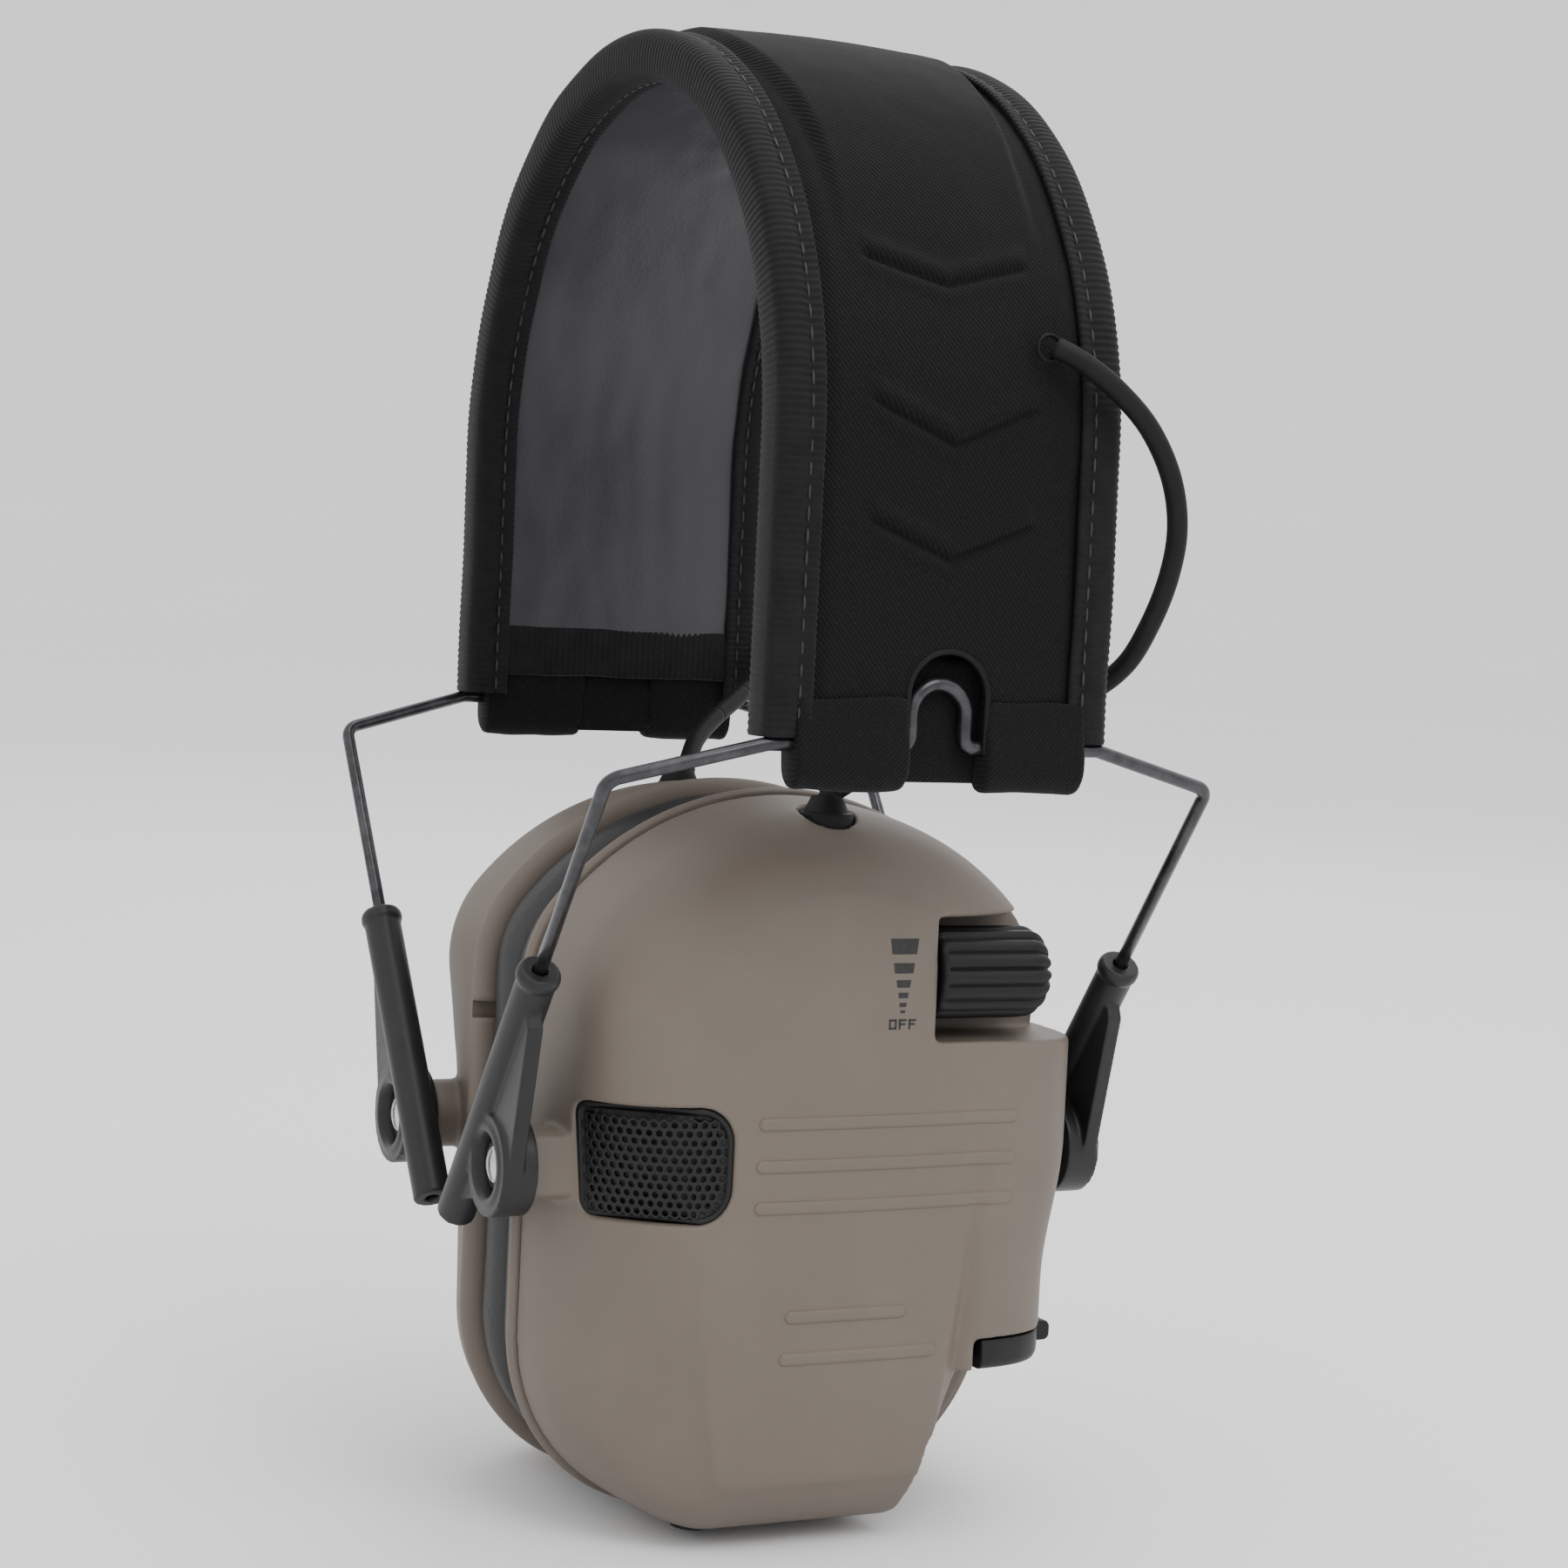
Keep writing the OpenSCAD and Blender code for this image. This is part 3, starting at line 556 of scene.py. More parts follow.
def add_camera():
    """The photograph's view: a long lens from the front left of the wearer."""
    azimuth, elevation, roll = (math.radians(a) for a in (64.69, 3.6, 2.7))
    distance, target_z, lens = 0.4936, -0.10517, 72.93
    back = Vector((math.sin(azimuth) * math.cos(elevation), -math.cos(azimuth) * math.cos(elevation),
                   math.sin(elevation)))
    right = (-back).cross(Vector((0, 0, 1))).normalized()
    up = right.cross(-back)
    across = math.cos(roll) * right + math.sin(roll) * up
    upward = -math.sin(roll) * right + math.cos(roll) * up
    camera = new_object("photo_camera", bpy.data.cameras.new("photo_camera"))
    turn = Matrix((across, upward, back)).transposed()
    camera.matrix_world = Matrix.Translation(Vector((0, 0, target_z)) + back * distance) @ turn.to_4x4()
    camera.data.sensor_width = 36
    camera.data.lens = lens
    camera.data.shift_x = 0.0219
    camera.data.shift_y = -0.0029
    camera.data.clip_start = 0.01
    bpy.context.scene.camera = camera


def add_light(name, azimuth, elevation, distance, size, watts):
    """A square soft light that points at the middle of the object."""
    a, e = math.radians(azimuth), math.radians(elevation)
    data = bpy.data.lights.new(name, "AREA")
    data.size = size
    data.energy = watts
    light = new_object(name, data)
    middle = Vector((0, 0, -0.1))
    away = Vector((math.sin(a) * math.cos(e), -math.cos(a) * math.cos(e), math.sin(e)))
    light.location = middle + away * distance
    light.rotation_euler = away.to_track_quat("Z", "Y").to_euler()


def add_stage():
    """Pale studio bowl: a floor just under the cups that curves up into a pale wall."""
    low = cad_box[0][2] / MM - 1
    a = np.linspace(0, math.pi / 2, 14)[1:]
    profile = [(1, low), (900, low), (4000, low)]
    profile += [(4000 + 4000 * math.sin(t), low + 2500 * (1 - math.cos(t))) for t in a]
    sides = 96
    rings = np.array([[(r * math.cos(t), r * math.sin(t), z) for t in turns(sides)] for r, z in profile])
    faces = grid_faces(*rings.shape[:2], False, True) + [tuple(range(sides))]
    floor = mesh_piece("floor", rings.reshape(-1, 3), faces)
    s = Shader("pale_floor", (0.86, 0.86, 0.86), 0.9, Specular_IOR_Level=0.1)
    s.color_by(s.noise(s.coords("Object"), 3, 2), [(0.3, (0.87,) * 3), (0.7, (0.885,) * 3)])
    floor.data.materials.append(s.material)
    world = bpy.data.worlds.new("studio")
    world.use_nodes = True
    sky = world.node_tree.nodes["Background"]
    sky.inputs["Color"].default_value = (1, 1, 1, 1)
    sky.inputs["Strength"].default_value = 1.35
    bpy.context.scene.world = world


add_camera()
add_light("key", 100, 48, 1.3, 0.7, 6.5)
add_light("fill", 20, 20, 1.5, 0.8, 1.2)
add_light("top", 150, 80, 1.3, 0.7, 4)
add_light("back", 235, 35, 1.4, 0.7, 2.5)
add_stage()


# ---- headband surface -------------------------------------------------------------------


def band_points(s, y, r):
    """Points at distance s along the band from its crown, y across it and r from its centre."""
    s, y, r = np.broadcast_arrays(s, y, r)
    a = np.abs(s)
    phi = np.minimum(a, HALF_ARC) / REF_R
    down = np.maximum(a - HALF_ARC, 0)
    x = np.sign(s + 1e-9) * r * np.sin(phi)
    z = -ARCH_R + r * np.cos(phi) - down
    return np.stack([x, y, z], -1)


def smoothstep(a, b, t):
    t = np.clip((t - a) / (b - a), 0, 1)
    return t * t * (3 - 2 * t)


def soft_noise(s, y, scale, amount, seed=0.0):
    """Smooth unevenness over the band, in millimetres."""
    s, y = np.broadcast_arrays(s, y)
    flat = [amount * noise.noise(Vector((a / scale, b / scale, seed)))
            for a, b in zip(s.ravel(), y.ravel())]
    return np.array(flat).reshape(s.shape)


def chevrons(s, y):
    """Depth of the three V-shaped sewn grooves on each side of the cover."""
    depth = np.zeros(np.broadcast(s, y).shape)
    rise = np.zeros_like(depth)
    for tip, drop in ((71.5, 3.6), (93.8, 5.4), (109.5, 5.0)):
        line = tip - drop * np.abs(y) / 12.5
        off = np.abs(s) - line
        fade = 1 - smoothstep(11.5, 13.6, np.abs(y))
        depth += fade * np.exp(-(off / 0.55) ** 2)
        rise += fade * (np.exp(-((off + 1.9) / 1.3) ** 2) + 0.5 * np.exp(-((off - 1.7) / 1.2) ** 2))
    return 0.45 * rise - 0.75 * depth


def crown_puff(s, y):
    """Height of the raised padded zone, which dies out down each side."""
    a = np.abs(s)
    edge = np.interp(a, [0, 18, 33, 50, 66, 80], [19.6, 19.2, 17.8, 16.2, 16.2, 16.2])
    side = 1 - smoothstep(edge - 1.8, edge + 0.4, np.abs(y))
    along = 1 - smoothstep(38, 72, a)
    dome = 1 - 0.22 * (y / 20) ** 2
    return 2.1 * side * along * dome


def cover_height(s, y):
    base = COVER_R + 0.25 * np.cos(np.clip(y / HALF_W, -1, 1) * math.pi / 2)
    pinch = -0.5 * smoothstep(17.5, 20.5, np.abs(y))
    return (base + pinch + crown_puff(s, y) + chevrons(s, y)
            + soft_noise(s, y, 16, 0.28, 3.0) + soft_noise(s, y, 5, 0.07, 8.0))


def closed_sheet(name, s, y, outer, inner):
    """A closed piece of band between two height fields on one grid, with plane coordinates."""
    rows, cols = outer.shape
    top = band_points(s, y, outer).reshape(-1, 3)
    low = band_points(s, y, inner).reshape(-1, 3)
    base = rows * cols
    faces = grid_faces(rows, cols)
    faces += shifted(faces, base, True)
    for i in range(rows - 1):
        for j in (0, cols - 1):
            a, b = i * cols + j, (i + 1) * cols + j
            faces.append((a, b, base + b, base + a))
    for j in range(cols - 1):
        for i in (0, rows - 1):
            a, b = i * cols + j, i * cols + j + 1
            faces.append((a, b, base + b, base + a))
    obj = outward(mesh_piece(name, np.vstack([top, low]), faces))
    s, y = np.broadcast_arrays(s, y)
    set_uv(obj, np.r_[s.ravel(), s.ravel()], np.r_[y.ravel(), y.ravel()])
    return obj


KEYHOLE_Y, KEYHOLE_Z, KEYHOLE_R = 0.8, -89.0, 6.2


def keyhole_arch(angles):
    return [(KEYHOLE_Y + KEYHOLE_R * math.cos(a), KEYHOLE_Z + KEYHOLE_R * math.sin(a)) for a in angles]


def keyhole_tool(side):
    """A round-topped prism that cuts the keyhole at the cover's lower end."""
    outline = keyhole_arch(np.linspace(0, math.pi, 24))
    outline += [(KEYHOLE_Y - KEYHOLE_R, -110), (KEYHOLE_Y + KEYHOLE_R, -110)]
    rings = [[(side * x, y, z) for y, z in outline] for x in (57.6, 70)]
    return loft("keyhole", rings, smooth=False)


def build_cover():
    rows, cols = 620, 111
    s = np.linspace(-HALF_LEN, HALF_LEN, rows)[:, None]
    y = np.linspace(-HALF_W + 1, HALF_W - 1, cols)[None, :]
    outer = cover_height(s, y)
    cover = closed_sheet("headband_cover", s, y, outer, np.full_like(outer, COVER_INNER_R))
    for side in (1, -1):
        cut(cover, keyhole_tool(side))
    give(cover, "headband", CLOTH, "black_cloth", "outer_cover", "crown_pad")


def build_keyhole_hems():
    """Turned and sewn edge round each keyhole."""
    for name, side in SIDES.items():
        path = [(-5.4, -97)] + keyhole_arch(np.linspace(math.pi, 0, 30)) + [(7.0, -97)]
        path = smooth_curve([(side * (COVER_R + 0.15), p[0], p[1]) for p in path], 70)
        hem = loft("keyhole_hem_" + name, tube_rings(path, 0.45, 14))
        give(hem, "headband", CLOTH_PLAIN, "black_cloth")


def binding_profile():
    """Half of the folded tape in (r, y): outer lip, rounded edge and inner lip, as a closed loop."""
    inner = HALF_W - BINDING_W
    out = [(61.15, inner), (61.55, inner + 0.35), (61.35, inner + 1.6), (61.15, inner + 2.1),
           (61.45, inner + 2.8), (61.6, inner + 4.2), (61.3, HALF_W - 1.2), (60.4, HALF_W - 0.25),
           (59.2, HALF_W), (57.5, HALF_W + 0.1), (56.0, HALF_W), (54.9, HALF_W - 0.4),
           (54.3, HALF_W - 1.6), (54.15, inner + 4), (54.3, inner + 2.8), (54.6, inner + 2.1),
           (54.35, inner + 1.5), (54.2, inner + 0.35), (54.6, inner)]
    back = [(55.0, inner + 0.4), (54.9, inner + 5), (56.2, HALF_W - 1.0), (59.2, HALF_W - 1.0),
            (60.4, inner + 5), (60.6, inner + 0.4)]
    curve = smooth_curve([(r, y, 0) for r, y in out], 40)[:, :2]
    return curve, np.array(back)


def build_bindings():
    ribs_pitch = 1.05
    rows = int(2 * HALF_LEN / ribs_pitch * 5)
    s = np.linspace(-HALF_LEN - 0.2, HALF_LEN + 0.2, rows)
    curve, back = binding_profile()
    normals = curve_normals(curve)
    rib = 0.075 * np.cos(2 * math.pi * s / ribs_pitch)
    for name, side, node in (("front_binding_tape", -1, "front_binding"),
                             ("rear_binding_tape", 1, "rear_binding")):
        rings = []
        for i, si in enumerate(s):
            wave = 0.22 * noise.noise(Vector((si / 14, side * 3.0, 0.5)))
            loop = np.vstack([curve - normals * rib[i], back])
            y = side * (loop[:, 1] + wave * 0.6)
            rings.append(band_points(np.full(len(loop), si), y, loop[:, 0] + wave))
        tape = loft(name, rings)
        across = np.r_[distances(curve), np.zeros(len(back))]
        set_uv(tape, np.repeat(s, len(curve) + len(back)), np.tile(across, rows))
        give(tape, "headband", TAPE, "black_cloth", node)


def stitch_row(name, places):
    """Short thread capsules; places are (point, direction) pairs."""
    verts, faces = [], []
    length, radius, sides = 2.1, 0.2, 6
    for point, direction in places:
        steps = np.linspace(-0.5, 0.5, 6)
        path = np.array([point + unit(direction) * length * t for t in steps])
        radii = radius * np.sqrt(np.maximum(1 - (2 * steps) ** 2, 0.05))
        rings = tube_rings(path, radii, sides)
        base = len(verts)
        verts += list(rings.reshape(-1, 3))
        faces += shifted(grid_faces(len(path), sides, False, True), base)
        faces += shifted([range(sides), range(5 * sides, 6 * sides)], base)
    return outward(mesh_piece(name, verts, faces))


def build_stitches():
    pitch = 3.0
    count = int(2 * HALF_LEN / pitch)
    s = (np.arange(count) + 0.5) * pitch - HALF_LEN
    rows = []
    row_y = HALF_W - BINDING_W + 2.1
    for y in (-row_y, row_y):
        for r in (61.28, 54.42):
            points = band_points(s, y, r)
            ahead = band_points(s + 0.5, y, r)
            rows += [(p, q - p) for p, q in zip(points, ahead)]
    give(stitch_row("binding_stitches", rows), "headband", THREAD, "black_cloth")


def build_lining():
    rows, cols = 330, 60
    s = np.linspace(-HALF_LEN + 5, HALF_LEN - 5, rows)[:, None]
    y = np.linspace(-HALF_W + 1, HALF_W - 1, cols)[None, :]
    pull = 0.7 * np.exp(-((s + 26) / 6) ** 2 - ((y - 9) / 3.5) ** 2)
    rays = 0.25 * np.exp(-((s + 26) / 16) ** 2 - ((y - 9) / 10) ** 2) * np.cos(
        7 * np.arctan2(y - 9, s + 26))
    swell = -0.35 * np.cos(np.clip(y / 20, -1, 1) * math.pi / 2)
    inner = (55.1 + swell + pull + rays + soft_noise(s, y, 24, 0.5, 1.0)
             + soft_noise(s, y * 2.2, 9, 0.16, 4.0))
    lining = closed_sheet("headband_lining", s, y, inner + 0.6, inner)
    give(lining, "headband", LINING, "lining", "lining")


def build_hem_tapes():
    """Ribbed tape across each end of the lining."""
    for name, side in SIDES.items():
        ribs = 200
        y = np.linspace(-HALF_W + BINDING_W - 0.6, HALF_W - BINDING_W + 0.6, ribs)
        rib = 0.06 * np.cos(2 * math.pi * y / 1.05)
        profile = [(55.0, 0), (54.62, 0.25), (54.5, 1.2), (54.6, 4), (54.5, 7), (54.65, 8), (55.0, 8.3)]
        rings = []
        for yi, ri in zip(y, rib):
            dip = 0.25 * noise.noise(Vector((yi / 9, 2.0, side)))
            rings.append([(side * (r + (ri if r < 54.9 else 0) + dip * 0.5), yi,
                           -ARCH_R - LEG + 3 + h + dip) for r, h in profile])
        tape = loft("hem_tape_piece_" + name, rings)
        set_uv(tape, np.repeat(y, 7), np.tile([h for _, h in profile], ribs))
        give(tape, "headband", TAPE, "black_cloth", "hem_tape_" + name)


def tunnel_profile(bulge):
    """Closed outline of the rolled cloth round the wire, in (x, z) from the tunnel's axis."""
    outer = [(1.5, 6.5), (1.75, 3.2), (2.2, 0.8), (2.55, -1.6), (2.2, -4.2), (0.6, -6.0), (-1.6, -6.1),
             (-3.0, -4.4), (-3.4, -1.4), (-3.6, 1.5), (-4.2, 5.0), (-2.6, 5.4)]
    points = smooth_curve([(x, z, 0) for x, z in outer], 44)[:, :2]
    grow = 1 + bulge * 0.06
    return np.array([0, -1.5]) + (points - np.array([0, -1.5])) * grow


def build_tunnels():
    """Rolled cloth in two lengths, the hem line above it and the flap behind the keyhole."""
    for name, side in SIDES.items():
        parts = []
        for y0, y1 in ((-22.4, -5.2), (6.9, 22.6)):
            rings = []
            for y in np.linspace(y0, y1, 60):
                end = min(y - y0, y1 - y) / 1.2
                close = 0.86 + 0.14 * math.sqrt(min(end, 1.0) * (2 - min(end, 1.0)))
                lump = noise.noise(Vector((y / 6, side * 2.0, 1.3)))
                ring = tunnel_profile(lump)
                ring = np.array([-0.5, -1.0]) + (ring - np.array([-0.5, -1.0])) * close
                sag = 0.25 * noise.noise(Vector((y / 10, 5.0, side)))
                rings.append([(side * (TUNNEL_X + x), y, TUNNEL_Z + z + sag) for x, z in ring])
            parts.append(loft("roll", rings))
        back = [(-1.6, 12), (-1.3, 4), (-1.4, -2), (-1.9, -4.9), (-2.8, -5.2), (-3.0, -2), (-3.3, 4),
                (-3.0, 12)]
        curve = smooth_curve([(x, z, 0) for x, z in back], 30)[:, :2]
        rings = [[(side * (TUNNEL_X + x), y, TUNNEL_Z + z) for x, z in curve]
                 for y in np.linspace(-5.6, 7.4, 14)]
        parts.append(loft("flap", rings))
        tunnel = joined("tunnel_roll_" + name, parts)
        co = np.array([tuple(v.co) for v in tunnel.data.vertices]) / MM
        set_uv(tunnel, co[:, 2] * 1.2, co[:, 1])
        give(tunnel, "headband", CLOTH, "black_cloth", "wire_tunnel_" + name)


# ---- cables -----------------------------------------------------------------------------

# Points along each cable, and the ones where its three lengths meet
CABLE_R = 1.5
CABLE_STEPS, SLACK_START, UPPER_END, MIDDLE_END, LOWER_BEND_END = 164, 66, 118, 134, 158
CABLE_ROUTE = [
    (27.1, 0.3, -106.3), (27.4, 1, -105), (28, 2, -104), (32, 5, -101), (37, 10, -98), (42, 16, -95),
    (47, 22, -92), (52, 28, -88.5),
    (56, 32, -84), (59, 34, -78), (61, 35.5, -71), (62.5, 35.5, -64), (64, 33, -57),
    (64.8, 28.5, -50.5), (64.6, 23, -45.5), (63.4, 18, -42), (61.6, 14.5, -40)
]


def build_cables():
    """Each cable leaves the cover's hole and goes down behind the band to the cup's grommet.
    It is made in three lengths."""
    for name, side in SIDES.items():
        route = [(side * x, y, z) for x, y, z in reversed(CABLE_ROUTE)]
        path = smooth_curve(route, CABLE_STEPS)
        bail, slide, cup = "bail_" + name, "front_slide_" + name, "cup_" + name
        lengths = (("cable_upper_", 0, UPPER_END, ("headband", bail), SLACK_START, UPPER_END),
                   ("cable_middle_", UPPER_END, MIDDLE_END, (bail, slide), UPPER_END, MIDDLE_END),
                   ("cable_lower_", MIDDLE_END, CABLE_STEPS, (slide, cup), MIDDLE_END, LOWER_BEND_END))
        for prefix, a, b, pair, bend_start, bend_end in lengths:
            piece = loft(prefix + name, tube_rings(path[a:b + 1], CABLE_R))
            give(piece, None, RUBBER, "cable_rubber")
            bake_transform(piece)
        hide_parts("cable_" + name)
        print("cable", name, round(path_length(path) * MM, 4))


def build_cable_eyelets():
    """Small worked eyelet where each cable enters the cover."""
    middle, ring_r, thread_r = np.array([60.9, 14.0, -40.2]), 1.75, 0.32
    for name, side in SIDES.items():
        rings = []
        for t in turns(40):
            radial = np.array([0, math.cos(t), math.sin(t)])
            rings.append([(middle + ring_r * radial + thread_r * (np.cos(u) * radial
                           + np.sin(u) * np.array([1, 0, 0]))) * np.array([side, 1, 1])
                          for u in turns(10)])
        eyelet = loft("cable_eyelet_" + name, rings, wrap=True)
        give(eyelet, "headband", CLOTH_PLAIN, "black_cloth")


CLOTH_PLAIN = rubber_material("turned_cloth_edge", 0.003)
build_cables()
build_cover()
build_keyhole_hems()
build_bindings()
build_stitches()
build_lining()
build_hem_tapes()
build_tunnels()
build_cable_eyelets()


# ---- wires ------------------------------------------------------------------------------

WIRE_R = 1.0
KINK_R = 4.25
KINK_TOP = 4.5
SPLIT_Y = 12.0
EXIT_Y = 25.8
SHOULDER_DROP = 7.0
LEG_END = 83.0


def leg_point(side, x, y, z):
    """A point of the leg's frame, which has -z down the wire and x outwards."""
    c, s = math.cos(LEG_TILT), math.sin(LEG_TILT)
    return np.array([side * (TUNNEL_X + x * c + z * s), y, TUNNEL_Z - x * s + z * c])


def filleted(points, radius, steps=10):
    """A path with its inner corners rounded to the given bend radius."""
    points = [np.asarray(p, float) for p in points]
    path = [points[0]]
    for before, corner, after in zip(points, points[1:], points[2:]):
        a, b = unit(before - corner), unit(after - corner)
        half = math.acos(max(-1, min(1, float(np.dot(a, b))))) / 2
        reach = radius / math.tan(half)
        middle = corner + unit(a + b) * radius / math.sin(half)
        start, end = corner + a * reach - middle, corner + b * reach - middle
        turn = math.acos(max(-1, min(1, float(np.dot(start, end)) / radius ** 2)))
        for t in np.linspace(0, 1, steps):
            path.append(middle + (math.sin((1 - t) * turn) * start + math.sin(t * turn) * end)
                        / math.sin(turn))
    path.append(points[-1])
    return np.array(path)


def build_wires():
    for name, side in SIDES.items():
        x = side * TUNNEL_X
        arch = [(x, KINK_R * math.cos(a), TUNNEL_Z + KINK_TOP + KINK_R * math.sin(a))
                for a in np.linspace(0, math.pi, 33)]
        rear = filleted([(x, SPLIT_Y - 0.05, TUNNEL_Z), (x, KINK_R, TUNNEL_Z),
                         (x, KINK_R, TUNNEL_Z + KINK_TOP)], 1.6)
        front = rear[::-1] * np.array([1, -1, 1])
        path = np.vstack([rear[:-1], arch, front[1:]])
        kink = loft("wire_kink_" + name, tube_rings(path, WIRE_R))
        give(kink, "headband", WIRE, "black_wire", "bail_kink_" + name)
        legs = []
        for way in (1, -1):
            corners = [leg_point(side, 0, way * (SPLIT_Y + 0.05), 0), leg_point(side, 0, way * EXIT_Y, 0),
                       leg_point(side, 0, way * LEG_Y, -SHOULDER_DROP),
                       leg_point(side, 0, way * LEG_Y, -LEG_END)]
            bent = filleted(corners, 2.6)
            legs.append(loft("leg", tube_rings(bent, WIRE_R)))
        give(joined("wire_legs_" + name, legs), "bail_" + name, WIRE, "black_wire", "wire_bail_" + name)


# ---- sleeves and pivots -----------------------------------------------------------------

SLEEVE_TOP = 42.0
SLEEVE_R = 2.9
PIVOT_DROP = 74.3
PIVOT_OFFSET = 6.9
BOSS_R = 7.5
BOSS_Y1 = 49.2


def ring_solid(name, centre, axis, profile):
    """A solid of revolution about centre and axis, from (distance along, radius) pairs."""
    axis = unit(axis)
    u = unit(np.cross(axis, [0.2, 0.1, 0.97]))
    v = np.cross(axis, u)
    a = turns(72)[:, None]
    rings = [np.asarray(centre) + axis * h + r * (np.cos(a) * u + np.sin(a) * v) for h, r in profile]
    return loft(name, rings)


def rounded(h0, h1, r, edge):
    """Profile of a disc with rounded edges, for ring_solid."""
    a = np.linspace(0, math.pi / 2, 7)
    low = [(h0 + edge * (1 - math.cos(t)), r - edge + edge * math.sin(t)) for t in a]
    high = [(h1 - edge * (1 - math.cos(t)), r - edge + edge * math.sin(t)) for t in a[::-1]]
    return [(h0, 0.01)] + low + high + [(h1, 0.01)]


def bore(h0, h1, r):
    """Profile of a plain cylinder, for ring_solid."""
    return [(h0, 0.01), (h0, r), (h1, r), (h1, 0.01)]


def build_sleeve(name, side, way, body, node):
    """Moulded sleeve: the CAD shape with a collar, a dished boss and soft edges."""
    sleeve = copy_node(name, node)
    down = leg_point(side, 0, 0, -1) - leg_point(side, 0, 0, 0)
    top = leg_point(side, 0, way * LEG_Y, -SLEEVE_TOP)
    collar = ring_solid("collar", top, down, rounded(0.02, 2.4, SLEEVE_R + 0.35, 0.9))
    cut(sleeve, collar, "UNION")
    pivot = leg_point(side, PIVOT_OFFSET, way * BOSS_Y1, -PIVOT_DROP)
    cut(sleeve, ring_solid("lip", pivot, (0, way, 0), rounded(-2.2, 0.28, BOSS_R - 0.9, 1.0)), "UNION")
    dish = [(-2.45, 0.01), (-2.45, 3.9), (-1.2, 4.15), (-0.2, 4.6), (0.6, 5.3), (0.6, 0.01)]
    cut(sleeve, ring_solid("dish", pivot, (0, way, 0), dish))
    cut(sleeve, ring_solid("hole", top, down, bore(-1, 12, WIRE_R + 0.12)))
    soften(sleeve, 0.24, 5)
    give(sleeve, body, SATIN, "dark_plastic", node)


def build_pivot_pins():
    """Riveted pins: a dark washer in the boss and a bright domed head with a slot across it."""
    for name, side in SIDES.items():
        shanks, washers = [], []
        for way in (1, -1):
            centre = np.array([side * PIVOT_X, 0, PIVOT_Z])
            axis = (0, way, 0)
            a = np.linspace(0, math.pi / 2, 10)
            dome = [(47.6 + 1.1 * math.sin(t), 2.75 * math.cos(t) + 0.01) for t in a]
            inner = 41.4 if way > 0 else 36.8
            head = ring_solid("head", centre, axis, [(inner, 0.01), (inner, 2.4), (47.6, 2.4)] + dome)
            slot = [(-4, -0.55), (4, -0.55), (4, 0.55), (-4, 0.55)]
            turn = math.radians(6)
            rings = [[centre + np.array([p * math.cos(turn) - q * math.sin(turn), way * h,
                                         p * math.sin(turn) + q * math.cos(turn)])
                      for q, p in slot] for h in (47.75, 49.6)]
            cut(head, loft("slot", rings, smooth=False))
            soften(head, 0.11, 3)
            shanks.append(head)
            washer = [(47.1, 0.01), (47.1, 3.6), (47.5, 3.75), (47.8, 3.6), (47.85, 2.95), (47.7, 2.7),
                      (47.7, 0.01)]
            washers.append(ring_solid("washer", centre, axis, washer))
        give(joined("pivot_heads_" + name, shanks), "cup_" + name, STEEL, "steel",
             "pivot_pins_" + name)
        give(joined("pivot_washers_" + name, washers), "cup_" + name, MATT, "dark_plastic")


# ---- cup shape --------------------------------------------------------------------------

LOW_R, LOW_W, LOW_Y = 28.0, -27.0, 11.6
SIDE_R, SIDE_Y = 20.0, 19.6
DOME_R, DOME_W = 45.7, 7.7
SIDE_W = DOME_W + math.sqrt((DOME_R - SIDE_R) ** 2 - SIDE_Y ** 2)
SIDE_A = math.atan2(SIDE_W - DOME_W, SIDE_Y)

# Stations of the outer surface: distance along x, inset, pull of the lower corners, size
CUP_STATIONS = [(0, 0, 0.01, 1), (7, 0.2, 2, 1), (14, 0.9, 8, 1), (17.5, 2, 13, 1), (20.5, 3.9, 17, 1),
                (22.9, 7, 17.5, 1), (24.4, 11, 15, 1), (25.2, 15.5, 11, 1), (25.8, 15.5, 11, 0.5),
                (25.95, 15.5, 11, 0.02)]


def arc(centre, r, a0, a1, n):
    a = np.linspace(a0, a1, n)
    return np.stack([centre[0] + r * np.cos(a), centre[1] + r * np.sin(a)], 1)


def cup_outline(e, k=0.0, fine=3):
    """Closed outline in (y, w): domed top, straight sides and rounded lower corners.
    e moves it inwards, and k draws the lower corners in to a point."""
    r = max(LOW_R - e - k, 3)
    lift = e if k == 0 else 0.5 * e if e < 2 else 0.8 * e - 0.6
    low = (LOW_Y + 0.22 * k, LOW_W - LOW_R + r + lift)
    lean = math.atan2(SIDE_Y + SIDE_R - e - low[0] - r, SIDE_W - low[1])
    corner = arc(low, r, -math.pi / 2, -lean, 12 * fine)
    side = arc((SIDE_Y, SIDE_W), SIDE_R - e, -lean, SIDE_A, 7 * fine)
    dome = arc((0, DOME_W), DOME_R - e, SIDE_A, math.pi / 2, 12 * fine)
    t = np.linspace(0, 1, 8 * fine + 2)[1:-1, None]
    half = np.vstack([corner, corner[-1] + t * (side[0] - corner[-1]), side, dome[1:]])
    floor = np.linspace(0, 1, 3 * fine)[:-1, None] * corner[0] * [1, 0] + corner[0] * [0, 1]
    half = np.vstack([floor, half])
    return np.vstack([half, half[-2:0:-1] * [-1, 1]])


